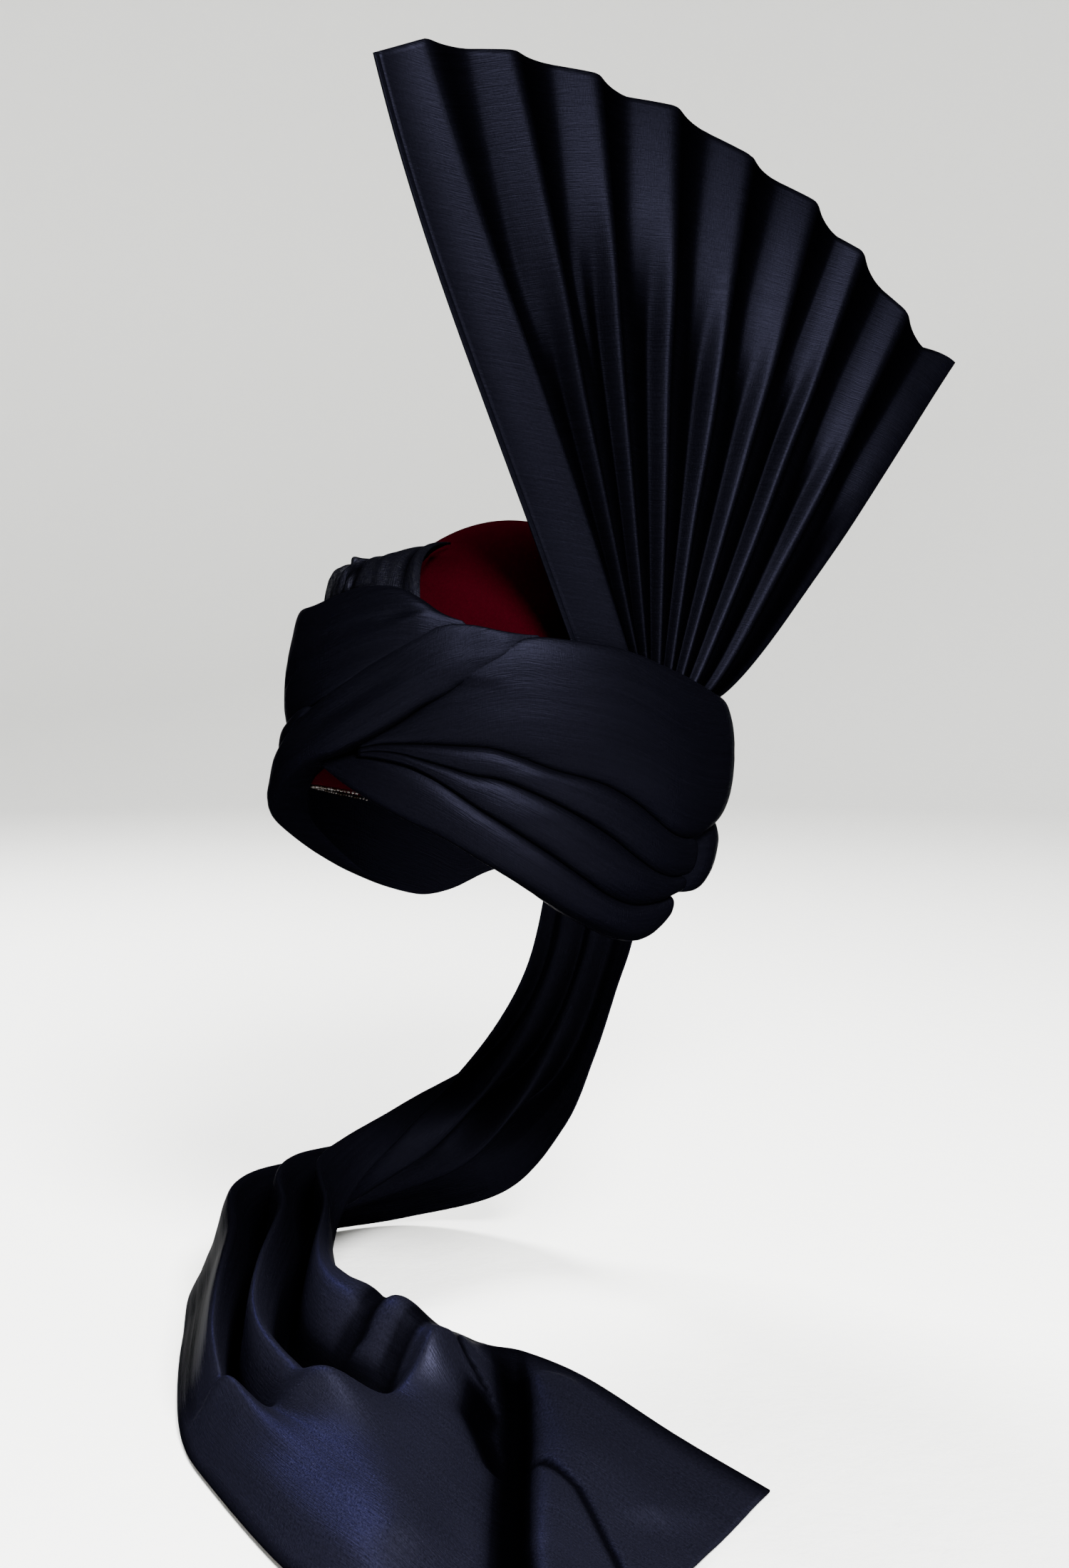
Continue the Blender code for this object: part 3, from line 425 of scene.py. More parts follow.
# Place across the tail, with the height of its three folds there and of the swell that they spread into
TailFold = namedtuple("TailFold", "across height spread")
TAIL_FOLDS = (
    TailFold(0.0, 0.0, 0.0),
    TailFold(0.14, 0.45, 0.75),
    TailFold(0.28, 1.0, 1.0),
    TailFold(0.43, 0.05, 1.0),
    TailFold(0.57, 1.0, 0.95),
    TailFold(0.74, 0.0, 0.85),
    TailFold(0.89, 0.8, 0.6),
    TailFold(1.0, 0.0, 0.0),
)
# The folds end later towards the inner edge, over these sections
TAIL_LAG = 3.0
TAIL_LAG_FROM = 8.0
TAIL_LAG_OVER = 2.0
TAIL_LAG_ACROSS = 0.2
# The folds keep together towards the outer edge where the cloth is gathered
TAIL_SPREAD_POWER = 3
TAIL_COLUMNS = 128
TAIL_ROWS = 360
# Drag lines, the share of them that is gone where the folds have spread out, and the lying part's slow waves
TAIL_DRAG = (Swell(0.0008, 16, 9, 61), Swell(0.0004, 45, 14, 62))
TAIL_DRAG_CALM = 0.8
TAIL_WAVES = Swell(0.0016, 26, 26, 63)
TAIL_WAVE_START = (5 / 26, 9 / 26)
# The cloth lies from this section on, but for a narrow share of its width at either edge
TAIL_LIES_FROM = 9.0
TAIL_EDGE = 0.05
# The pockets between the folds end abruptly, where this share of the folds' height is gone
POCKET_END = 0.30
POCKET_END_OVER = 0.34
# Painted shade in the pockets, where the folds are high, away from their ridges and from the outer edge
POCKET_SHADE = 0.6
POCKET_LEAST = 0.020
POCKET_DARK_OVER = 0.015
POCKET_RIDGE = 0.55
POCKET_DARK_WIDTH = 0.4
POCKET_EDGE = 0.2
POCKET_DARK_FROM = 7
# Creases that cross the lying part, as lines in the tail's own frame: their depth, their reach to the left
# and the right as the camera sees them, and the share of painted shade in them
TailCrease = namedtuple("TailCrease", "depth left right shade line")
TAIL_CREASES = (
    TailCrease(0.0080, 0.011, 0.006, 0.97, (
        (0.006, -0.100), (0.010, -0.130), (0.012, -0.160), (0.0125, -0.200),
        (0.0115, -0.250), (0.0115, -0.300), (0.016, -0.372))),
    TailCrease(0.0050, 0.009, 0.007, 0.9, ((-0.004, -0.172), (-0.006, -0.192), (0.004, -0.215))),
    TailCrease(0.0016, 0.0026, 0.0022, 0.5, (
        (-0.033, -0.108), (-0.016, -0.149), (-0.003, -0.162), (0.003, -0.176), (0.0135, -0.221),
        (0.023, -0.230), (0.037, -0.256), (0.050, -0.301), (0.058, -0.335))),
    TailCrease(0.0026, 0.008, 0.005, 0.55, ((-0.058, -0.086), (-0.050, -0.118), (-0.062, -0.150))),
    TailCrease(0.0024, 0.008, 0.005, 0.55, ((-0.036, -0.097), (-0.048, -0.132), (-0.074, -0.158))),
    TailCrease(0.0020, 0.007, 0.005, 0.55, ((-0.020, -0.108), (-0.030, -0.145), (-0.052, -0.176))),
    TailCrease(-0.0040, 0.010, 0.010, 0.0, ((-0.066, -0.100), (-0.040, -0.150), (-0.024, -0.172))),
    TailCrease(-0.0030, 0.018, 0.016, 0.0, ((-0.100, -0.205), (-0.060, -0.235), (-0.030, -0.300))),
    TailCrease(-0.0045, 0.014, 0.020, 0.0, ((0.024, -0.140), (0.036, -0.200), (0.066, -0.262))),
)
# How soon a crease ends beyond its line, and how widely its painted shade reaches
TAIL_CREASE_FADE = 0.018
TAIL_CREASE_DARK = 1.25
# Lowest height of the lying cloth over its level
LYING_THICKNESS = 0.0034

# Camera: it stands 55 degrees round from the forehead, at the height of the cap, and looks slightly down
CAMERA_AZIMUTH = 55.0
CAMERA_DISTANCE = 1.057
CAMERA_SIDE = 0.0189
CAMERA_HEIGHT = 0.122
CAMERA_PITCH = 4.94
CAMERA_LENS = 45.82
CAMERA_SENSOR = 36.0
CAMERA_CLIP = 0.05

# Stage: a round floor just under the tail, which turns up into a wall
STAGE_RADIUS = 4.0
STAGE_HEIGHT = 4.5
STAGE_GAP = 0.0008
STAGE_FLOOR = (0.0, 1.2, 2.4)
STAGE_CORNER = 1.2
STAGE_CORNER_START = 0.05
STAGE_CORNER_POINTS = 14
STAGE_SIDES = 96

# Lamps, each at a bearing and an elevation from the origin, which they face, and the even light of the room
Light = namedtuple("Light", "name bearing elevation distance size power")
LIGHTS = (
    Light("key", 77, 40, 2.0, 0.7, 290.0),
    Light("top", -90, 48, 2.1, 0.9, 200.0),
    Light("rear", -170, 40, 2.6, 1.8, 16.0),
)
ROOM_COLOUR = (0.97, 0.98, 1.0, 1.0)
ROOM_STRENGTH = 0.33

# Patterns of the finishes: marks to a metre along each axis, their detail and roughness, and the strength and
# depth of the relief that they make
Marks = namedtuple("Marks", "per_metre detail roughness strength depth", defaults=(0.0, 0.0))
SATIN_DRAG = Marks((9, 620, 1), 3.0, 0.6, 0.28, 0.0005)
SATIN_WEFT = Marks((140, 1500, 1), 1.0, 0.5, 0.35, 0.0004)
SATIN_WARP = Marks((1500, 200, 1), 1.0, 0.5, 0.22, 0.0003)
SATIN_RUBBED = Marks((14, 22, 1), 3.0, 0.55)
SATIN_GRAIN = Marks((900, 900, 1), 2.0, 0.7)
FELT_FIBRES = Marks((900, 900, 900), 4.0, 0.7, 0.5, 0.0004)
FELT_CLUMPS = Marks((130, 130, 130), 3.0, 0.6, 0.4, 0.0008)
FELT_PATCHES = Marks((18, 18, 18), 2.0, 0.5)
BEAD_DULL = Marks((1500, 1500, 1500), 2.0, 0.5)
ZARI_WARP = Marks((1300, 260, 1), 1.0, 0.5)
ZARI_WEFT = Marks((260, 1300, 1), 1.0, 0.5, 0.6, 0.0005)
# Painted glints: random bright spots of the metal thread
ZARI_PAINTED_GLINT = Marks((1500, 1500, 1), 2.0, 0.6)
ZARI_RUBBED = Marks((60, 60, 1), 3.0, 0.6)
WALL_TOOTH = Marks((55, 55, 55), 5.0, 0.65, 0.25, 0.004)
# The middle of a pattern's range, where nearly all its values lie
MIDDLE = (0.3, 0.7)
# Tones of the finishes, as shares of their own colours
SATIN_SLACK_TONE, SATIN_TAUT_TONE = 0.86, 1.2
SATIN_DULL_TONE, SATIN_DULL_SHARE = 0.5, 0.5
SATIN_BRIGHT_TONE, SATIN_BRIGHT_SHARE = 1.9, 0.35
SATIN_RUBBED_TONE = 1.5
# Painted shade: the satin's tone in its hollows, on its flanks and in its creases and pockets
SATIN_PAINTED_SHADE_TONE = 0.04
# Painted light: paler tones of the tail's lying part, a lit copy of the satin
LYING_PAINTED_LIGHT_DULL_TONE, LYING_PAINTED_LIGHT_BRIGHT_TONE = 3.2, 6.6
FELT_DARK_TONE, FELT_LIGHT_TONE, FELT_RUBBED_TONE = 0.7, 1.3, 1.5
GOLD_TONE, SILVER_TONE = 0.5, 1.4
# The glint tone is a painted glint of the metal thread, and the hollow tone below is painted shade in the
# gathered end's hollows
ZARI_GROUND_TONE, ZARI_PAINTED_GLINT_TONE = 1.2, 3.0
ZARI_RUBBED_TONE, ZARI_PLAIN_TONE, ZARI_PAINTED_SHADE_TONE = 2.0, 1.3, 0.3
# Where across the gathered end its metal thread gives way to plain cloth, in metres
ZARI_PLAIN_FROM = (0.050, 0.068)
# Sockets of the node that mixes colours
MIX_INPUTS, MIX_RESULT = (0, 6, 7), 2


class TurbanSizes(bpy.types.PropertyGroup):
    """Sizes that the cloth and the beads take."""

    cloth: bpy.props.FloatProperty(
        name="Cloth Thickness", description="Thickness of the satin where its edge shows",
        default=0.0011, min=0.0003, max=0.002, unit="LENGTH")
    gather: bpy.props.FloatProperty(
        name="Gather Depth", description="Depth of the small folds in the gathered end",
        default=0.0016, min=0.0, max=0.003, unit="LENGTH")
    bead: bpy.props.FloatProperty(
        name="Bead Radius", description="Radius of one bead of the cap's edging",
        default=0.00078, min=0.0005, max=0.0015, unit="LENGTH")
    bead_pitch: bpy.props.FloatProperty(
        name="Bead Spacing", description="Distance from one bead to the next",
        default=0.0026, min=0.001, max=0.01, unit="LENGTH")


def colour_property(name, description, default):
    """Make one colour that the panel shows."""
    return bpy.props.FloatVectorProperty(
        name=name, description=description, default=default, size=3, min=0.0, max=1.0, subtype="COLOR")


class TurbanColours(bpy.types.PropertyGroup):
    """Colours of the turban and of the stage."""

    satin: colour_property("Satin", "Navy satin of the wound cloth, the fan and the tail",
                           (0.00168, 0.00168, 0.0029))
    felt: colour_property("Felt", "Maroon felt of the cap", (0.0058, 0.0001, 0.0006))
    gold: colour_property("Gold Beads", "Gold beads of the edging", (0.016, 0.009, 0.005))
    silver: colour_property("Silver Beads", "Silver beads of the edging", (0.036, 0.032, 0.031))
    zari: colour_property("Metal Thread", "Grey metal thread of the gathered end", (0.012, 0.0122, 0.0128))
    floor: colour_property("Stage", "Pale floor and backdrop", (0.74, 0.74, 0.72))


def curve(table, at):
    """Read a smooth curve through a table's rows of place and value."""
    places, values = np.array(table, dtype=float).T
    slopes = np.gradient(values, places)
    at = np.clip(at, places[0], places[-1])
    row = np.clip(np.searchsorted(places, at) - 1, 0, len(places) - 2)
    span = places[row + 1] - places[row]
    t = (at - places[row]) / span
    start = values[row] * (1 + 2 * t) * (1 - t) ** 2 + slopes[row] * span * t * (1 - t) ** 2
    end = values[row + 1] * t * t * (3 - 2 * t) - slopes[row + 1] * span * t * t * (1 - t)
    return start + end


def read_rows(rows, place):
    """Read every column of a table at a place counted in rows."""
    return {name: curve([(i, getattr(row, name)) for i, row in enumerate(rows)], place)
            for name in rows[0]._fields}


def ease(t):
    """Go smoothly from 0 to 1."""
    t = np.clip(t, 0, 1)
    return t * t * (3 - 2 * t)


def softened(value):
    """Flatten the middle of a round profile, so that its edges turn in more tightly."""
    return np.sign(value) * np.abs(value) ** STRIP_SOFTNESS


def smooth_noise(x, y, seed):
    """Smooth random heights between -1 and 1 over a plane, one unit from one random point to the next."""
    table = np.random.default_rng(seed).uniform(-1, 1, (NOISE_COLUMNS, NOISE_ROWS))
    x, y = np.broadcast_arrays(np.asarray(x, dtype=float), np.asarray(y, dtype=float))
    column, row = np.floor(x).astype(int), np.floor(y).astype(int)
    u, v = ease(x - column), ease(y - row)

    def corner(i, j):
        return table[(column + i) % NOISE_COLUMNS, (row + j) % NOISE_ROWS]

    near = corner(0, 0) * (1 - u) + corner(1, 0) * u
    far = corner(0, 1) * (1 - u) + corner(1, 1) * u
    return near * (1 - v) + far * v


def swelling(swell, x, y):
    """Height of one kind of unevenness at a place."""
    return swell.height * smooth_noise(x * swell.across, y * swell.along, swell.seed)


def oval_radius(angle, half_width, front, back):
    """Distance from the axis to an oval with those reaches, in the direction of angle."""
    half_length = (front + back) / 2
    offset = (back - front) / 2
    turn = np.radians(angle)
    a = (np.sin(turn) / half_width) ** 2 + (np.cos(turn) / half_length) ** 2
    b = offset * np.cos(turn) / half_length ** 2
    c = (offset / half_length) ** 2 - 1
    return (np.sqrt(b * b - a * c) - b) / a


def cap_radius(angle, height):
    """Outer radius of the felt cap."""
    rise = np.clip((height - DOME_BASE) / DOME_RISE, 0, DOME_LIMIT)
    share = np.sqrt(1 - rise ** 2)
    half_length = CAP_HALF_LENGTH * share
    front = half_length - CAP_CENTRE_Y + BROW * np.clip((BROW_TOP - height) / (BROW_TOP - DOME_BASE), 0, 1)
    return oval_radius(angle, CAP_HALF_WIDTH * share, front, half_length + CAP_CENTRE_Y)


def form_radius(angle, height):
    """Outer radius of the wound cloth."""
    reaches = [curve([(level.height, getattr(level, reach)) for level in WRAP_FORM], height)
               for reach in ("half_width", "front", "back")]
    return oval_radius(angle, *reaches)


def wrap_top(angle):
    """Height of the wound cloth's upper edge."""
    first = WRAP_TOP[0][0]
    return curve(WRAP_TOP, first + (angle - first) % 360)


def inner_radius(angle, height):
    """Where the wound cloth stops inside: against the cap, or as a thin free edge near the top."""
    against_cap = cap_radius(angle, height) + FIT_GAP
    free_edge = form_radius(angle, height) - EDGE_WALL
    share = ease((wrap_top(angle) - height - POCKET_DEPTH) / POCKET_RAMP)
    return np.maximum(against_cap, free_edge + (against_cap - free_edge) * share)


def around(angle, radius, height):
    """Turn an angle, radius and height into a point."""
    turn = np.radians(angle)
    return np.stack(np.broadcast_arrays(radius * np.sin(turn), -radius * np.cos(turn), height), axis=-1)


def rim_height(angle):
    """Height of the cap's sloping rim."""
    return RIM_HEIGHT - RIM_SLOPE * around(angle, cap_radius(angle, RIM_HEIGHT), 0)[..., 1]


def lengths_along(points):
    """Length of the way from the first row of points to every row."""
    steps = np.linalg.norm(np.diff(points, axis=0), axis=-1)
    return np.concatenate([np.zeros((1, *steps.shape[1:])), steps.cumsum(axis=0)])


def cloth_grid(rows, columns):
    """Places along and across a cloth, both from 0 to 1."""
    return np.meshgrid(np.linspace(0, 1, rows + 1), np.linspace(0, 1, columns + 1), indexing="ij")


def cloth_map(first, second):
    """Two lengths at every point of a cloth, joined to a map."""
    return np.stack(np.broadcast_arrays(first, second), axis=-1)


def deselect():
    """Leave nothing selected, so that the next operator acts on its own piece alone."""
    for obj in bpy.context.selected_objects:
        obj.select_set(False)


def select_only(obj):
    """Select one piece and make it the active one."""
    deselect()
    obj.select_set(True)
    bpy.context.view_layer.objects.active = obj


def smooth(obj):
    """Shade a piece smooth."""
    obj.data.polygons.foreach_set("use_smooth", [True] * len(obj.data.polygons))


def apply_modifiers(obj):
    """Apply a piece's modifiers in their order."""
    select_only(obj)
    for modifier in list(obj.modifiers):
        bpy.ops.object.modifier_apply(modifier=modifier.name)


def cloth_mesh(name, points, uvs, closed=False):
    """Make a mesh over a grid of points, rows along the cloth and columns across it, with a map in metres."""
    rows, columns = points.shape[:2]
    across = columns if closed else columns - 1
    row, column = np.meshgrid(np.arange(rows - 1), np.arange(across), indexing="ij")
    following = (column + 1) % columns
    # A face's corners: row and column of the point, and column of the map, which doesn't close round a tube
    corners = ((row, column, column), (row, following, column + 1),
               (row + 1, following, column + 1), (row + 1, column, column))
    faces = np.stack([r * columns + c for r, c, _ in corners], axis=-1).reshape(-1, 4)
    mesh = bpy.data.meshes.new(name)
    mesh.from_pydata(points.reshape(-1, 3).tolist(), [], faces.tolist())
    u, v = uvs[..., 0], uvs[..., 1]
    v = np.concatenate([v, v[:, :1] + (v[:, -1:] - v[:, :1]) * (1 + 1 / columns)], axis=1)
    places = np.stack([np.stack([u[r, c], v[r, m]], axis=-1) for r, c, m in corners], axis=2)
    mesh.uv_layers.new(name="cloth").data.foreach_set("uv", places.reshape(-1).astype(np.float32))
    obj = bpy.data.objects.new(name, mesh)
    bpy.context.scene.collection.objects.link(obj)
    return obj


def shade_points(obj, shades):
    """Store the painted shade at each point, the share by which the cloth's colour darkens; below 0 it is
    painted light.
    """
    obj.data.attributes.new("shade", "FLOAT", "POINT").data.foreach_set("value", shades.reshape(-1))


def thicken(obj, wall, offset=0.0):
    """Give an open cloth or shell its thickness."""
    solidify = obj.modifiers.new("wall", "SOLIDIFY")
    solidify.thickness = wall
    solidify.offset = offset
    apply_modifiers(obj)


def close_ends(obj):
    """Close the two open ends of a tube of cloth."""
    select_only(obj)
    bpy.ops.object.mode_set(mode="EDIT")
    bpy.ops.mesh.select_mode(type="EDGE")
    bpy.ops.mesh.select_all(action="DESELECT")
    bpy.ops.mesh.select_non_manifold()
    bpy.ops.mesh.fill_holes(sides=0)
    bpy.ops.mesh.select_all(action="SELECT")
    bpy.ops.mesh.normals_make_consistent(inside=False)
    bpy.ops.object.mode_set(mode="OBJECT")


def dress(obj, material, slot, *nodes):
    """Give a piece its finish and the body that it rides on, shade it smooth and hide the CAD nodes that it
    stands for.
    """
    obj.data.materials.clear()
    obj.data.materials.append(material)
    smooth(obj)
    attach(obj, "root")
    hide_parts(*nodes)


class Shader:
    """A material under construction, with short ways to add its nodes."""

    def __init__(self, name):
        self.material = bpy.data.materials.new(name)
        self.material.use_nodes = True
        self.tree = self.material.node_tree
        self.surface = self.tree.nodes["Principled BSDF"]

    def node(self, kind, inputs=(), **settings):
        """Add a node; inputs is a list of socket name and either a value or another node's socket."""
        made = self.tree.nodes.new(kind)
        for name, value in settings.items():
            setattr(made, name, value)
        for name, value in inputs:
            self.feed(made.inputs[name], value)
        return made

    def feed(self, socket, value):
        """Set a socket, or link another node's output to it."""
        if isinstance(value, bpy.types.NodeSocket):
            self.tree.links.new(value, socket)
        else:
            socket.default_value = value

    def cloth_place(self):
        """Place on the cloth, in metres along and across it."""
        return self.node("ShaderNodeUVMap", uv_map="cloth").outputs["UV"]

    def solid_place(self):
        """Place in the piece, in metres."""
        return self.node("ShaderNodeTexCoord").outputs["Object"]

    def stored(self, name):
        """Value that the mesh stores at its points."""
        return self.node("ShaderNodeAttribute", attribute_name=name).outputs["Fac"]

    def pattern(self, place, marks):
        """Uneven pattern of marks over a place."""
        mapping = self.node("ShaderNodeMapping", [("Vector", place), ("Scale", marks.per_metre)])
        made = self.node("ShaderNodeTexNoise", [("Vector", mapping.outputs["Vector"]), ("Scale", 1.0),
                                                ("Detail", marks.detail), ("Roughness", marks.roughness)])
        return made.outputs["Fac"]

    def blend(self, factor, first, second):
        """Mix two colours."""
        made = self.node("ShaderNodeMix", data_type="RGBA")
        for socket, value in zip(MIX_INPUTS, (factor, first, second)):
            self.feed(made.inputs[socket], value)
        return made.outputs[MIX_RESULT]

    def range(self, value, low, high, to_low=0.0, to_high=1.0):
        """Stretch part of a value's range over another range."""
        made = self.node("ShaderNodeMapRange", [("Value", value), ("From Min", low), ("From Max", high),
                                                ("To Min", to_low), ("To Max", to_high)])
        return made.outputs["Result"]

    def bump(self, height, marks, normal=None):
        """Raise the surface by a pattern's relief, over the relief of another one."""
        inputs = [("Height", height), ("Strength", marks.strength), ("Distance", marks.depth)]
        if normal is not None:
            inputs.append(("Normal", normal))
        return self.node("ShaderNodeBump", inputs).outputs["Normal"]

    def finish(self, **values):
        """Set the surface's own sockets, with underscores for spaces in their names."""
        for name, value in values.items():
            self.feed(self.surface.inputs[name.replace("_", " ")], value)
        return self.material


def tone(colour, factor):
    """Make a colour lighter or darker, as a colour with alpha."""
    return (*(min(1.0, part * factor) for part in colour), 1.0)


def satin_material(name, colour):
    """Navy satin: its weave and drag lines, with painted shade in the hollows and painted light, paler, where
    it lies in the light.
    """
    shader = Shader(name)
    cloth, shade = shader.cloth_place(), shader.stored("shade")
    drag, weft, warp = (shader.pattern(cloth, marks) for marks in (SATIN_DRAG, SATIN_WEFT, SATIN_WARP))
    rubbed, grain = shader.pattern(cloth, SATIN_RUBBED), shader.pattern(cloth, SATIN_GRAIN)
    bright = shader.range(grain, *MIDDLE)
    base = shader.blend(shader.range(drag, 0.35, 0.7), tone(colour, SATIN_SLACK_TONE),
                        tone(colour, SATIN_TAUT_TONE))
    base = shader.blend(bright, shader.blend(SATIN_DULL_SHARE, base, tone(colour, SATIN_DULL_TONE)),
                        shader.blend(SATIN_BRIGHT_SHARE, base, tone(colour, SATIN_BRIGHT_TONE)))
    base = shader.blend(shader.range(rubbed, 0.3, 0.75, 0.0, 0.3), base, tone(colour, SATIN_RUBBED_TONE))
    # Painted shade: the satin darkens where the stored shade is high, in hollows, on flanks and in creases
    base = shader.blend(shader.range(shade, 0.0, 1.0, 0.0, 0.86), base, tone(colour, SATIN_PAINTED_SHADE_TONE))
    # Painted light: the satin turns paler where the stored shade is below 0, on the tail's lying part
    lying = shader.blend(bright, tone(colour, LYING_PAINTED_LIGHT_DULL_TONE), tone(colour, LYING_PAINTED_LIGHT_BRIGHT_TONE))
    base = shader.blend(shader.range(shade, -1.0, 0.0, 1.0, 0.0), base, lying)
    weave = shader.bump(weft, SATIN_WEFT)
    weave = shader.bump(warp, SATIN_WARP, weave)
    weave = shader.bump(drag, SATIN_DRAG, weave)
    return shader.finish(
        Base_Color=base, Metallic=0.8, Roughness=shader.range(drag, *MIDDLE, 0.46, 0.56), Normal=weave,
        Specular_IOR_Level=0.0, Specular_Tint=(0.05, 0.05, 0.055, 1.0))


def felt_material(name, colour):
    """Maroon felt: matted fibres, clumps and slightly rubbed patches."""
    shader = Shader(name)
    place = shader.solid_place()
    fibres, clumps, patches = (
        shader.pattern(place, marks) for marks in (FELT_FIBRES, FELT_CLUMPS, FELT_PATCHES))
    base = shader.blend(shader.range(fibres, *MIDDLE), tone(colour, FELT_DARK_TONE),
                        tone(colour, FELT_LIGHT_TONE))
    base = shader.blend(shader.range(patches, 0.35, 0.7, 0.0, 0.3), base, tone(colour, FELT_RUBBED_TONE))
    nap = shader.bump(fibres, FELT_FIBRES)
    nap = shader.bump(clumps, FELT_CLUMPS, nap)
    return shader.finish(Base_Color=base, Roughness=0.95, Normal=nap, Sheen_Weight=0.004,
                         Sheen_Roughness=0.6, Sheen_Tint=(0.9, 0.05, 0.12, 1.0), Specular_IOR_Level=0.0)


def bead_material(name, gold, silver):
    """Metal-coated beads, each one gold or silver by its own tone."""
    shader = Shader(name)
    dull = shader.pattern(shader.solid_place(), BEAD_DULL)
    base = shader.blend(shader.range(shader.stored("tone"), 0.55, 0.95), tone(gold, GOLD_TONE),
                        tone(silver, SILVER_TONE))
    return shader.finish(Base_Color=base, Metallic=0.85, Roughness=shader.range(dull, *MIDDLE, 0.22, 0.42),
                         Specular_IOR_Level=0.1)


def zari_material(name, thread, ground):
    """Dark cloth woven with grey metal thread, with painted glints and painted shade in its hollows, plain
    navy on the side that lies on the cap.
    """
    shader = Shader(name)
    cloth = shader.cloth_place()
    warp, weft, painted_glint, rubbed = (
        shader.pattern(cloth, marks) for marks in (ZARI_WARP, ZARI_WEFT, ZARI_PAINTED_GLINT, ZARI_RUBBED))
    across = shader.node("ShaderNodeSeparateXYZ", [("Vector", cloth)]).outputs["X"]
    woven = shader.node("ShaderNodeMath", [(0, warp), (1, weft)], operation="ADD").outputs[0]
    base = shader.blend(shader.range(woven, 0.85, 1.15), tone(ground, ZARI_GROUND_TONE), tone(thread, 1.0))
    base = shader.blend(shader.range(rubbed, 0.35, 0.7, 0.0, 0.6), base, tone(ground, ZARI_RUBBED_TONE))
    # Painted glints: bright spots of metal thread at random places
    base = shader.blend(shader.range(painted_glint, 0.62, 0.74, 0.0, 0.9), base, tone(thread, ZARI_PAINTED_GLINT_TONE))
    base = shader.blend(shader.range(across, *ZARI_PLAIN_FROM, 0.0, 0.85), base,
                        tone(ground, ZARI_PLAIN_TONE))
    # Painted shade in the hollows of the small folds, from the stored shade
    base = shader.blend(shader.range(shader.stored("shade"), 0.35, 0.9, 0.0, 0.9), base,
                        tone(ground, ZARI_PAINTED_SHADE_TONE))
    return shader.finish(Base_Color=base, Metallic=0.8, Roughness=0.5, Normal=shader.bump(woven, ZARI_WEFT),
                         Specular_IOR_Level=0.0, Specular_Tint=(0.2, 0.2, 0.2, 1.0))


def stage_material(name, colour):
    """Plain pale stage with the faint tooth of a painted wall."""
    shader = Shader(name)
    tooth = shader.pattern(shader.solid_place(), WALL_TOOTH)
    return shader.finish(Base_Color=tone(colour, 1.0), Roughness=0.9, Normal=shader.bump(tooth, WALL_TOOTH),
                         Specular_IOR_Level=0.2)


def crease_relief(node, angle, height):
    """Depth that the soft creases take out of a strip, with the small ridge that each one raises."""
    relief = np.zeros(np.broadcast(angle, height).shape)
    across = np.radians(angle) * HEAD_RADIUS
    for crease in (crease for crease in SOFT_CREASES if crease.node == node):
        start = np.array((math.radians(crease.angle) * HEAD_RADIUS, crease.height))
        end = np.array((math.radians(crease.next_angle) * HEAD_RADIUS, crease.next_height))
        run = end - start
        length = math.hypot(*run)
        along = ((across - start[0]) * run[0] + (height - start[1]) * run[1]) / length
        aside = ((height - start[1]) * run[0] - (across - start[0]) * run[1]) / length / crease.width
        fade = math.prod(ease(way / (SOFT_FADE * length) + SOFT_END) for way in (along, length - along))
        ridge = SOFT_RIDGE * np.exp(-(aside + SOFT_RIDGE_ASIDE) ** 2)
        relief += crease.depth * fade * (ridge - np.exp(-aside ** 2 * SOFT_NARROW))
    return relief


def drag_lines(strip, angle, height):
    """Fine lines that tension draws along the cloth, a few millimetres apart."""
    turn = np.radians(angle) * HEAD_RADIUS
    slanted = height + turn * DRAG_SLANT
    broad, fine = (lines._replace(seed=lines.seed + strip.seed) for lines in (DRAG_BROAD, DRAG_FINE))
    return strip.ripple * (swelling(broad, turn, slanted) + swelling(fine, turn, height))


def strip_section(strip, angle, share):
    """Outer and inner side of a wound strip at one angle; share shrinks it towards an end."""
    to_end = strip.end - angle if strip.tucked else min(strip.end - angle, angle - strip.start)
    at_tip = 1 - ease((strip.end - angle) / TIP_TUCK_OVER) if strip.thinned else 0.0
    low = curve(strip.bottom, angle) - SEAM_OVERLAP / 2 - TIP_TUCK * at_tip
    high = curve(strip.top, angle) + SEAM_OVERLAP / 2
    turn = np.radians(np.linspace(-90, 90, STRIP_HALF_POINTS + 1))
    heights = (low + high) / 2 + (high - low) / 2 * share * softened(np.sin(turn))
    inner = inner_radius(angle, heights)
    outer = np.maximum(form_radius(angle, heights) + curve(strip.rise, angle), inner + EDGE_WALL)
    sink = np.where(turn < 0, curve(strip.bottom_sink, angle), curve(strip.top_sink, angle))
    sink = np.minimum(sink, outer - inner - LIP_WALL)
    outer = outer - sink * (1 - softened(np.cos(turn)))
    relief = drag_lines(strip, angle, heights) + crease_relief(strip.node, angle, heights)
    outer = outer + relief * np.sqrt(np.cos(turn))
    thinned = END_THINNEST + (1 - END_THINNEST) * ease(to_end / END_THINNING) if strip.thinned else 1.0
    outer = inner + (outer - inner) * share * thinned
    return around(angle, outer, heights), around(angle, inner, heights)


def strip_stations(strip):
    """Angles of a strip's sections, each with the share of its full size that it has there."""
    clear = END_SECTIONS[-1].inset
    first = strip.start + (0 if strip.tucked else clear)
    count = math.ceil((strip.end - clear - first) / STATION_STEP)
    stations = [(angle, 1.0) for angle in np.linspace(first, strip.end - clear, count + 1)]
    before = [] if strip.tucked else [(strip.start + end.inset, end.share) for end in END_SECTIONS[:-1]]
    after = [(strip.end - end.inset, end.share) for end in reversed(END_SECTIONS[:-1])]
    return before + stations + after


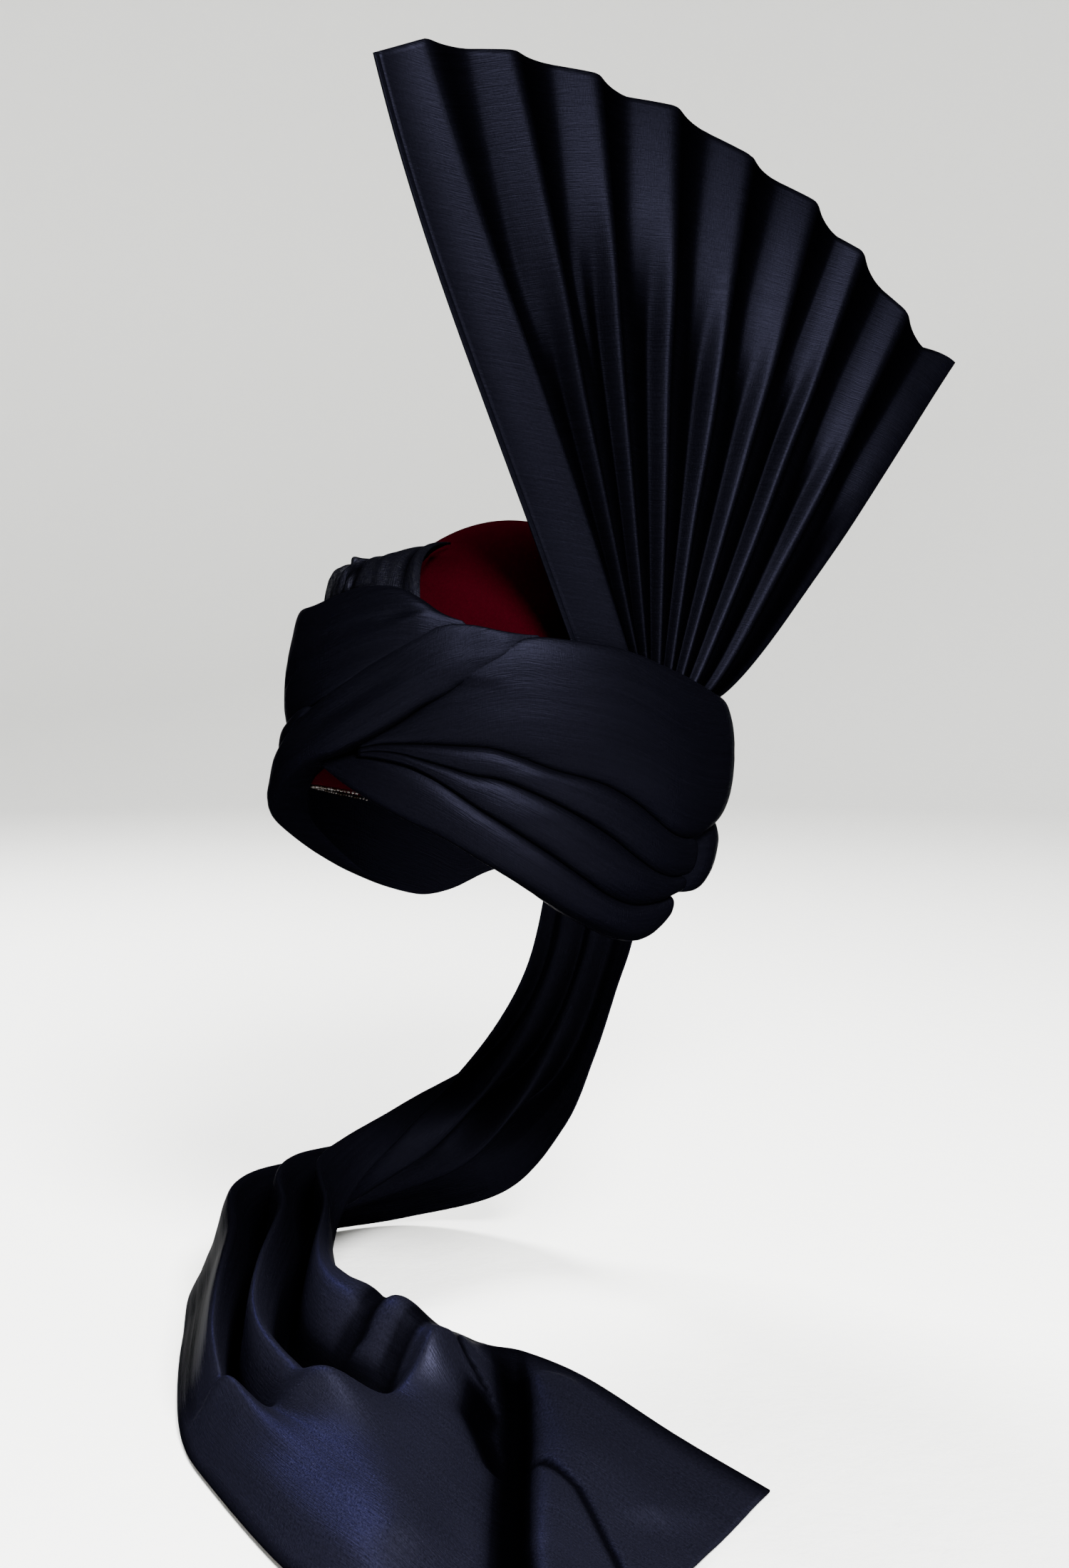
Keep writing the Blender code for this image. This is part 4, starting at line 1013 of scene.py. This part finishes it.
def build_strip(strip, material):
    """Loft one wound strip through its sections and close both ends."""
    rings, maps = [], []
    for angle, share in strip_stations(strip):
        outer, inner = strip_section(strip, angle, share)
        loop = np.concatenate([outer, inner[::-1]])
        girth = lengths_along(loop)
        rings.append(loop)
        maps.append(cloth_map(math.radians(angle) * HEAD_RADIUS, girth - girth[STRIP_HALF_POINTS] / 2))
    obj = cloth_mesh(strip.node + "_cloth", np.array(rings), np.array(maps), closed=True)
    close_ends(obj)
    dress(obj, material, "satin", strip.node)


def build_cap(material):
    """Make the felt cap from a sphere: a dome, a wall that comes forward over the brow and a sloping rim."""
    deselect()
    bpy.ops.mesh.primitive_uv_sphere_add(segments=CAP_SEGMENTS, ring_count=CAP_RINGS, radius=1.0)
    cap = bpy.context.object
    cap.name = cap.data.name = "cap_felt"
    bpy.ops.object.mode_set(mode="EDIT")
    bpy.ops.mesh.select_all(action="SELECT")
    bpy.ops.mesh.bisect(plane_co=(0, 0, -WALL_SHARE), plane_no=(0, 0, 1), clear_inner=True)
    bpy.ops.object.mode_set(mode="OBJECT")
    for vertex in cap.data.vertices:
        x, y, z = vertex.co
        if z < 0:
            across = math.hypot(x, y)
            x, y = x / across, y / across
        x, y = CAP_HALF_WIDTH * x, CAP_CENTRE_Y + CAP_HALF_LENGTH * y
        height = DOME_BASE + DOME_RISE * max(z, 0)
        angle = math.degrees(math.atan2(x, -y))
        if z < 0:
            height = DOME_BASE + (rim_height(angle) - DOME_BASE) * min(1.0, -z / WALL_SHARE)
        if height < BROW_TOP:
            x, y, _ = around(angle, cap_radius(angle, height), 0)
        uneven = 1 + swelling(FELT_DENTS, angle, height)
        vertex.co = (x * uneven, y * uneven, height)
    thicken(cap, FELT, offset=-1.0)
    dress(cap, material, "felt", "cap")


def build_beads(material, radius, pitch):
    """Sew beads in a line along the cap's rim."""
    angles = np.linspace(0, 360, RIM_POINTS)
    heights = rim_height(angles)
    rim = around(angles, cap_radius(angles, heights) - FELT / 2, heights - BEAD_DROP)
    length = lengths_along(rim)
    places = np.linspace(0, length[-1], int(length[-1] / pitch), endpoint=False)
    centres = np.stack([np.interp(places, length, part) for part in rim.T], axis=-1)
    deselect()
    bpy.ops.mesh.primitive_uv_sphere_add(segments=BEAD_SEGMENTS, ring_count=BEAD_RINGS, radius=radius)
    pattern = bpy.context.object
    points = np.array([vertex.co for vertex in pattern.data.vertices])
    faces = [tuple(face.vertices) for face in pattern.data.polygons]
    bpy.data.objects.remove(pattern)
    random = np.random.default_rng(BEAD_SEED)
    all_points, all_faces, tones = [], [], []
    for i, centre in enumerate(centres):
        shift = random.normal(0, radius * BEAD_SHIFT, 3)
        all_points.append(points * random.uniform(BEAD_SMALLEST, 1.0) + centre + shift)
        all_faces += [tuple(v + i * len(points) for v in face) for face in faces]
        tones += [random.uniform(0, 1) ** BEAD_TONE_POWER] * len(points)
    mesh = bpy.data.meshes.new("bead_edging")
    mesh.from_pydata(np.concatenate(all_points).tolist(), [], all_faces)
    mesh.attributes.new("tone", "FLOAT", "POINT").data.foreach_set("value", tones)
    beads = bpy.data.objects.new("bead_edging", mesh)
    bpy.context.scene.collection.objects.link(beads)
    dress(beads, material, "beads", "cap_edging")


def fan_axes():
    """Directions of the fan's plane: across it towards the nape, up it, and out of it."""
    turn, lean = math.radians(FAN_TURN), math.radians(FAN_LEAN)
    out = np.array((math.cos(turn) * math.cos(lean), math.sin(turn) * math.cos(lean), math.sin(lean)))
    across = np.array((-math.sin(turn), math.cos(turn), 0.0))
    return across, np.cross(out, across), out


def fan_foot_radius(angle, height):
    """Middle of the fan's pleats where they stand against the inside of the band's free edge."""
    return form_radius(angle, height) - EDGE_WALL - FAN_DEPTHS[0][1] - FAN_CAD_CLOTH / 2 - FAN_SEAT


def fan_free(along):
    """Share of the fan's free length that a place along it has reached."""
    return np.clip((along - FAN_TUCK_SHARE) / (1 - FAN_TUCK_SHARE), 0, 1)


def pleat_sunk(fold, free):
    """How far each broad panel has sunk into its hollow, from 0 at the top to 1 near the foot."""
    pair = np.clip(np.floor(fold / 2).astype(int), 0, len(FAN_HOLLOW_TIPS) - 1)
    return ease((np.array(FAN_HOLLOW_TIPS)[pair] - free) / FAN_HOLLOW_FADE) * ease(fold - 1)


def pleat_relief(fold, free):
    """Height of the pleats over the fan's middle surface: the broad panels sink into hollows lower down."""
    place, top, low, _, _ = zip(*PLEAT_PROFILE)
    sunk = pleat_sunk(fold, free)
    return (np.interp(fold % 2, place, top) * curve(FAN_DEPTHS, free) * (1 - sunk)
            + np.interp(fold % 2, place, low) * curve(FAN_LOW_DEPTHS, free) * sunk)


def pleat_shade(fold, free):
    """Painted shade of the pleats: darker in their hollows and on their flanks."""
    place, _, _, top, low = zip(*PLEAT_PROFILE)
    sunk = pleat_sunk(fold, free)
    spread = FAN_DARK_SPREAD * ease((fold - FAN_SPREAD_FROM) / FAN_SPREAD_OVER)
    at_top = np.maximum(np.interp(fold % 2, place, top), np.interp((fold - spread) % 2, place, top))
    shade = at_top * (1 - sunk) + np.interp(fold % 2, place, low) * sunk
    middle = ease(fold - FAN_MIDDLE_FROM) * (1 - ease((fold - FAN_MIDDLE_TO) / FAN_MIDDLE_FADE))
    return (1 - (1 - shade) * (1 - FAN_MIDDLE_SHADE * middle)) * ease(fold - FAN_PLAIN_TO)


def beside(profile, fold, free, step):
    """Mean of a pleat profile over five places beside each other, which rounds its corners."""
    return sum(profile(fold + shift * step, free) for shift in range(-2, 3)) / 5


def fan_surface(fold, along):
    """Surface of the fan: fold counts the fold lines, along runs from the tucked foot to the top."""
    across_axis, up_axis, out_axis = fan_axes()
    last = len(FAN_FOLDS) - 1
    base_angle, top_angle, reach = (
        np.interp(fold, np.arange(last + 1), values) for values in zip(*FAN_FOLDS))
    spread = np.radians(top_angle)
    top = (np.array(FAN_FOOT)
           + (FAN_CENTRE_ACROSS + reach * np.sin(spread))[..., None] * across_axis
           + (reach * np.cos(spread) - FAN_CENTRE_DOWN)[..., None] * up_axis)
    edge_height = wrap_top(base_angle)
    foot_height = edge_height - FAN_TUCK
    edge = around(base_angle, fan_foot_radius(base_angle, edge_height), edge_height)
    foot = around(base_angle, fan_foot_radius(base_angle, foot_height), foot_height)
    tucked = np.clip(along / FAN_TUCK_SHARE, 0, 1)[..., None]
    free = fan_free(along)
    ground = foot + (edge - foot) * tucked + (top - edge) * free[..., None]
    to_front = np.clip(1 - fold / FAN_FRONT_FOLDS, 0, 1)
    to_back = np.clip((fold - FAN_BACK_FROM) / (last - FAN_BACK_FROM), 0, 1)
    front_bow = FAN_FRONT_BOW * to_front * np.sin(np.pi * free ** FAN_FRONT_PEAK)
    back_bow = FAN_BACK_BOW * to_back ** FAN_BACK_GROWTH * np.sin(np.pi * free ** FAN_BACK_PEAK)
    ground = ground + (back_bow - front_bow)[..., None] * across_axis
    at_edges = np.clip(np.minimum(fold, last - fold), 0, 1)
    relief = beside(pleat_relief, fold, free, FAN_ROUNDING) * at_edges
    buckle = swelling(FAN_BUCKLE, fold + FAN_BUCKLE_START, free) * np.sin(np.pi * free)
    hem = -FAN_HEM_DEPTH * np.exp(-((fold - FAN_HEM_PLACE) / FAN_HEM_WIDTH) ** 2)
    return ground + (relief + buckle + hem)[..., None] * out_axis


def build_fan(material, cloth):
    """Make the fan of stiffened pleats."""
    last = len(FAN_FOLDS) - 1
    columns = np.concatenate([np.linspace(0, 1, FAN_HEM_COLUMNS, endpoint=False),
                              np.linspace(1, last, (last - 1) * FAN_PANEL_COLUMNS + 1)])
    along, fold = np.meshgrid(np.linspace(0, 1, FAN_ROWS + 1), columns, indexing="ij")
    points = fan_surface(fold, along)
    rise, place = lengths_along(points), lengths_along(points[-1])
    fan = cloth_mesh("fan_cloth", points, cloth_map(place, rise))
    # Painted shade in the pleats' hollows and on their flanks
    shade_points(fan, beside(pleat_shade, fold, fan_free(along), FAN_SHADE_ROUNDING))
    thicken(fan, cloth)
    dress(fan, material, "satin", "fan_crest")


def gathered_wave(across, along, depth):
    """Height of the gathered end's small folds, puffs and creases."""
    calm = 1 - (1 - GATHER_CALM) * ease((across - GATHER_CALM_FROM) / GATHER_CALM_OVER)
    turns = GATHER_FOLD_COUNT * across + swelling(GATHER_WANDER, across, along)
    folds = GATHER_FOLD_SHARE * np.sin(2 * np.pi * turns) + swelling(GATHER_CRUMPLE, across, along)
    wave = depth * calm * np.sin(np.pi * np.clip(along, GATHER_WAVE_END, 1 - GATHER_WAVE_END)) * folds
    for puff in PUFFS:
        wave = wave + puff.height * np.exp(
            -((across - puff.across) / puff.wide) ** 2 - ((along - puff.along) / puff.long) ** 2)
    return wave


def gathered_surface(across, along, depth):
    """Surface and painted shade of the gathered end: out of the pocket, over a soft crest and down onto the
    cap.
    """
    fold = read_rows(GATHER_FOLDS, across * (len(GATHER_FOLDS) - 1))
    rise = np.clip(along / GATHER_CREST, 0, 1)
    over = np.clip((along - GATHER_CREST) / (1 - GATHER_CREST), 0, 1)
    base_height = wrap_top(fold["base_angle"]) - GATHER_TUCK
    base_radius = form_radius(fold["base_angle"], base_height) - EDGE_WALL - GATHER_INSET
    end_angle = fold["top_angle"] - GATHER_SWEEP * across ** 2
    end_height = fold["top_height"] - GATHER_DROP * (1 - GATHER_LEVEL * across)
    end_radius = cap_radius(end_angle, end_height) + FIT_GAP + GATHER_END_CLEAR
    angle = (fold["base_angle"] + (fold["top_angle"] - fold["base_angle"]) * ease(rise)
             + (end_angle - fold["top_angle"]) * over)
    radius = (base_radius + (fold["top_radius"] - base_radius) * rise ** GATHER_LEAN
              + (end_radius - fold["top_radius"]) * over ** GATHER_IN)
    height = (base_height + (fold["top_height"] - base_height) * np.sin(np.pi / 2 * rise)
              + (end_height - fold["top_height"]) * over ** GATHER_DOWN)
    corner = ease(across / GATHER_CORNER)
    height = base_height + (height - base_height) * (GATHER_CORNER_RISE + (1 - GATHER_CORNER_RISE) * corner)
    wave = corner * gathered_wave(across, along, depth)
    radius = radius + fold["bow"] * np.sin(np.pi * np.clip(along / GATHER_SWELL_END, 0, 1)) + wave
    height = height + GATHER_WAVE_LIFT * wave
    radius = np.maximum(radius, cap_radius(angle, height) + FIT_GAP + GATHER_CAP_CLEAR)
    inside_band = form_radius(angle, height) - EDGE_WALL - FIT_GAP - GATHER_BAND_CLEAR
    below_edge = height < wrap_top(angle) + GATHER_EDGE_CLEAR
    radius = np.where(below_edge, np.minimum(radius, inside_band), radius)
    # Painted shade: darker in the hollows of the small folds
    return around(angle, radius, height), ease(0.5 - wave / GATHER_SHADE_DEPTH)


def build_gathered_end(material, depth, cloth):
    """Make the gathered cloth end that stands at the top of the front."""
    along, across = cloth_grid(GATHER_ROWS, GATHER_COLUMNS)
    points, shade = gathered_surface(across, along, depth)
    rise, place = lengths_along(points), lengths_along(points[GATHER_ROWS // 2])
    gathered = cloth_mesh("gathered_cloth", points, cloth_map(place, rise))
    shade_points(gathered, shade)
    thicken(gathered, cloth)
    dress(gathered, material, "zari", "gathered_end")


def line_distance(x, y, line):
    """Distance to a line of points, positive on its left, and how far beyond its ends a place lies."""
    nearest = np.full(np.shape(x), np.inf)
    signed, beyond = np.zeros(np.shape(x)), np.zeros(np.shape(x))
    for i, (start, end) in enumerate(zip(line, line[1:])):
        run = (end[0] - start[0], end[1] - start[1])
        length = math.hypot(*run)
        along = ((x - start[0]) * run[0] + (y - start[1]) * run[1]) / length
        aside = ((y - start[1]) * run[0] - (x - start[0]) * run[1]) / length
        held = np.clip(along, 0, length)
        away = np.hypot(x - start[0] - held * run[0] / length, y - start[1] - held * run[1] / length)
        closer = away < nearest
        nearest = np.where(closer, away, nearest)
        signed = np.where(closer, np.sign(aside) * away, signed)
        past = np.maximum(-along if i == 0 else 0, along - length if i == len(line) - 2 else 0)
        beyond = np.where(closer, np.maximum(past, 0), beyond)
    return signed, beyond


def tail_crease_relief(x, y):
    """Height and painted shade that the creases of the tail's lying part add, in the tail's own frame."""
    relief, shade = np.zeros(np.shape(x)), np.zeros(np.shape(x))
    for crease in TAIL_CREASES:
        signed, beyond = line_distance(x, y, crease.line)
        reach = np.where(signed < 0, crease.left, crease.right)
        share = np.exp(-(signed / reach) ** 2 - (beyond / TAIL_CREASE_FADE) ** 2)
        relief -= crease.depth * share
        shade = np.maximum(shade, crease.shade * ease(TAIL_CREASE_DARK * share))
    return relief, shade


def tail_shade(across, place, crease_shade, lying, fold_height, fold_share):
    """Painted shade of the tail, dark in its pockets and creases, and painted light below 0 where it lies in
    the light.
    """
    deep = (ease((fold_height - POCKET_LEAST) / POCKET_DARK_OVER)
            * ease((POCKET_RIDGE - fold_share) / POCKET_DARK_WIDTH) * np.clip(across / POCKET_EDGE, 0, 1))
    in_pocket = POCKET_SHADE * deep * ease((place - POCKET_DARK_FROM) / 2)
    # Painted shade in pockets and creases; painted light, below 0, on the lying part
    return np.maximum(crease_shade * lying, in_pocket) - lying * (1 - crease_shade) * (1 - deep)


def tail_surface(across, along):
    """Surface of the tail and its painted shade and light: across from its outer edge to its inner one, along
    from the nape.
    """
    place = along * (len(TAIL_SECTIONS) - 1)
    read = read_rows(TAIL_SECTIONS, place)
    outer, inner = (
        np.stack([read[f"{edge}_{axis}"] for axis in "xyz"], axis=-1) for edge in ("outer", "inner"))
    chord = inner - outer
    level = np.hypot(chord[..., 0], chord[..., 1])
    sideways = np.stack([chord[..., 1] / level, -chord[..., 0] / level, np.zeros(level.shape)], axis=-1)
    lean = np.radians(read["lean"])[..., None]
    normal = sideways * np.cos(lean) + np.array((0.0, 0.0, 1.0)) * np.sin(lean)
    fold = read_rows(TAIL_FOLDS, across * (len(TAIL_FOLDS) - 1))
    share = fold["across"] * (read["gathered"] + (1 - read["gathered"]) * across ** TAIL_SPREAD_POWER)
    lag = TAIL_LAG * (across - TAIL_LAG_ACROSS) * ease((place - TAIL_LAG_FROM) / TAIL_LAG_OVER)
    fold_height = read_rows(TAIL_SECTIONS, place - lag)["fold"]
    gone = 1 - np.clip(fold_height / max(section.fold for section in TAIL_SECTIONS), 0, 1)
    spread_out = ease((gone - POCKET_END) / POCKET_END_OVER)
    lift = fold["height"] * fold_height + fold["spread"] * read["swell"] * spread_out
    drag = sum(swelling(lines, across, along) for lines in TAIL_DRAG) * (1 - TAIL_DRAG_CALM * spread_out)
    local = outer + chord * share[..., None] + normal * (lift + drag)[..., None]
    lying = ease((place - TAIL_LIES_FROM) / 2) * np.clip(np.minimum(across, 1 - across) / TAIL_EDGE, 0, 1)
    waves = swelling(TAIL_WAVES, *(local[..., axis] + TAIL_WAVE_START[axis] for axis in (0, 1)))
    relief, crease_shade = tail_crease_relief(local[..., 0], local[..., 1])
    local[..., 2] = np.maximum(local[..., 2] + (relief + waves) * lying, LYING_THICKNESS)
    turn = math.radians(TAIL_TURN)
    x = local[..., 0] * math.cos(turn) - local[..., 1] * math.sin(turn)
    y = local[..., 0] * math.sin(turn) + local[..., 1] * math.cos(turn)
    return (np.stack([x, y, local[..., 2] + LYING_LEVEL], axis=-1),
            tail_shade(across, place, crease_shade, lying, fold_height, fold["height"]))


def build_tail(material, cloth):
    """Make the long tail: it hangs from the nape, sweeps round the wearer's right and lies in front."""
    along, across = cloth_grid(TAIL_ROWS, TAIL_COLUMNS)
    points, shade = tail_surface(across, along)
    run = lengths_along(points).mean(axis=1)
    place = lengths_along(points.swapaxes(0, 1)).mean(axis=1)
    tail = cloth_mesh("tail_cloth", points, cloth_map(run[:, None], place[None, :]))
    # Painted shade in pockets and creases, painted light where the tail lies flat
    shade_points(tail, shade)
    thicken(tail, cloth)
    dress(tail, material, "satin", "tail")


def build_stage(material):
    """Make a round pale stage whose floor turns up into a wall far behind the turban on every side."""
    floor_height = CAD_BOX[0].z - STAGE_GAP
    profile = [(radius, 0.0) for radius in STAGE_FLOOR]
    profile += [(STAGE_RADIUS - STAGE_CORNER * (1 - math.sin(t)), STAGE_CORNER * (1 - math.cos(t)))
                for t in np.linspace(STAGE_CORNER_START, math.pi / 2, STAGE_CORNER_POINTS)]
    profile += [(STAGE_RADIUS, STAGE_HEIGHT)]
    turns = np.linspace(0, 2 * math.pi, STAGE_SIDES + 1)
    points = np.array([[(r * math.cos(t), r * math.sin(t), floor_height + z) for r, z in profile]
                       for t in turns])
    stage = cloth_mesh("stage", points, np.zeros((*points.shape[:2], 2)))
    select_only(stage)
    bpy.ops.object.mode_set(mode="EDIT")
    bpy.ops.mesh.select_all(action="SELECT")
    bpy.ops.mesh.remove_doubles(threshold=0.00001)
    bpy.ops.mesh.normals_make_consistent(inside=True)
    bpy.ops.object.mode_set(mode="OBJECT")
    stage.data.materials.append(material)
    smooth(stage)


def build_lights():
    """Hang large soft lights round the turban and light the room evenly."""
    for light in LIGHTS:
        data = bpy.data.lights.new(light.name, "AREA")
        data.shape = "DISK"
        data.size = light.size
        data.energy = light.power
        obj = bpy.data.objects.new(light.name, data)
        obj.visible_camera = False
        level = light.distance * math.cos(math.radians(light.elevation))
        height = light.distance * math.sin(math.radians(light.elevation))
        obj.location = around(light.bearing, level, height)
        obj.rotation_euler = (-obj.location).to_track_quat("-Z", "Y").to_euler()
        bpy.context.scene.collection.objects.link(obj)
    world = bpy.data.worlds.new("soft_room")
    world.use_nodes = True
    background = world.node_tree.nodes["Background"]
    background.inputs["Color"].default_value = ROOM_COLOUR
    background.inputs["Strength"].default_value = ROOM_STRENGTH
    bpy.context.scene.world = world


def build_camera():
    """Stand the camera where the photograph was taken from."""
    azimuth, pitch = math.radians(CAMERA_AZIMUTH), math.radians(CAMERA_PITCH)
    toward = np.array((math.sin(azimuth), -math.cos(azimuth), 0.0))
    right = np.array((math.cos(azimuth), math.sin(azimuth), 0.0))
    data = bpy.data.cameras.new("camera")
    data.lens = CAMERA_LENS
    data.sensor_width = CAMERA_SENSOR
    data.sensor_fit = "AUTO"
    data.clip_start = CAMERA_CLIP
    camera = bpy.data.objects.new("camera", data)
    camera.location = toward * CAMERA_DISTANCE + right * CAMERA_SIDE + np.array((0.0, 0.0, CAMERA_HEIGHT))
    camera.rotation_euler = (math.pi / 2 - pitch, 0.0, azimuth)
    bpy.context.scene.collection.objects.link(camera)
    bpy.context.scene.camera = camera


def shared(name, make, *values):
    """A material by its name, made the first time that it is asked for."""
    return bpy.data.materials.get(name) or make(name, *values)


def shared_satin(context):
    """The navy satin of the wound cloth, the fan and the tail."""
    return shared("navy_satin", satin_material, context.scene.turban_colours.satin)


class TURBAN_OT_cap(bpy.types.Operator):
    """Build the felt cap"""

    bl_idname = "turban.cap"
    bl_label = "Cap"

    def execute(self, context):
        build_cap(shared("maroon_felt", felt_material, context.scene.turban_colours.felt))
        return {"FINISHED"}


class TURBAN_OT_beads(bpy.types.Operator):
    """Sew the beads along the cap's rim"""

    bl_idname = "turban.beads"
    bl_label = "Bead Edging"

    def execute(self, context):
        colours, sizes = context.scene.turban_colours, context.scene.turban_sizes
        material = shared("gold_and_silver_beads", bead_material, colours.gold, colours.silver)
        build_beads(material, sizes.bead, sizes.bead_pitch)
        return {"FINISHED"}


class TURBAN_OT_wound_cloth(bpy.types.Operator):
    """Wind the satin bands and pleats round the cap"""

    bl_idname = "turban.wound_cloth"
    bl_label = "Wound Cloth"

    def execute(self, context):
        for strip in STRIPS:
            build_strip(strip, shared_satin(context))
        return {"FINISHED"}


class TURBAN_OT_gathered_end(bpy.types.Operator):
    """Gather the metallic cloth end at the top of the front"""

    bl_idname = "turban.gathered_end"
    bl_label = "Gathered End"

    def execute(self, context):
        colours, sizes = context.scene.turban_colours, context.scene.turban_sizes
        material = shared("grey_metal_thread", zari_material, colours.zari, colours.satin)
        build_gathered_end(material, sizes.gather, sizes.cloth)
        return {"FINISHED"}


class TURBAN_OT_fan(bpy.types.Operator):
    """Fold the pleated fan crest"""

    bl_idname = "turban.fan"
    bl_label = "Fan Crest"

    def execute(self, context):
        build_fan(shared_satin(context), context.scene.turban_sizes.cloth)
        return {"FINISHED"}


class TURBAN_OT_tail(bpy.types.Operator):
    """Lay the long tail"""

    bl_idname = "turban.tail"
    bl_label = "Tail"

    def execute(self, context):
        build_tail(shared_satin(context), context.scene.turban_sizes.cloth)
        return {"FINISHED"}


class TURBAN_OT_stage(bpy.types.Operator):
    """Set the floor, the lights and the camera"""

    bl_idname = "turban.stage"
    bl_label = "Stage"

    def execute(self, context):
        build_stage(shared("pale_wall", stage_material, context.scene.turban_colours.floor))
        build_lights()
        build_camera()
        return {"FINISHED"}


OPERATORS = (TURBAN_OT_stage, TURBAN_OT_cap, TURBAN_OT_beads, TURBAN_OT_wound_cloth, TURBAN_OT_gathered_end,
             TURBAN_OT_fan, TURBAN_OT_tail)


class TURBAN_PT_panel(bpy.types.Panel):
    """Sizes, colours and pieces of the turban"""

    bl_idname = "TURBAN_PT_panel"
    bl_label = "Turban"
    bl_space_type = "VIEW_3D"
    bl_region_type = "UI"
    bl_category = "Turban"

    def draw(self, context):
        for group in (context.scene.turban_sizes, context.scene.turban_colours):
            box = self.layout.box()
            for name in group.__annotations__:
                box.prop(group, name)
        for operator in OPERATORS:
            self.layout.operator(operator.bl_idname)


CLASSES = (TurbanSizes, TurbanColours, *OPERATORS, TURBAN_PT_panel)


def register():
    for item in CLASSES:
        bpy.utils.register_class(item)
    bpy.types.Scene.turban_sizes = bpy.props.PointerProperty(type=TurbanSizes)
    bpy.types.Scene.turban_colours = bpy.props.PointerProperty(type=TurbanColours)


def unregister():
    del bpy.types.Scene.turban_colours
    del bpy.types.Scene.turban_sizes
    for item in reversed(CLASSES):
        bpy.utils.unregister_class(item)


def main():
    register()
    bpy.ops.turban.stage()
    bpy.ops.turban.cap()
    bpy.ops.turban.beads()
    bpy.ops.turban.wound_cloth()
    bpy.ops.turban.gathered_end()
    bpy.ops.turban.fan()
    bpy.ops.turban.tail()


if __name__ == "__main__":
    main()
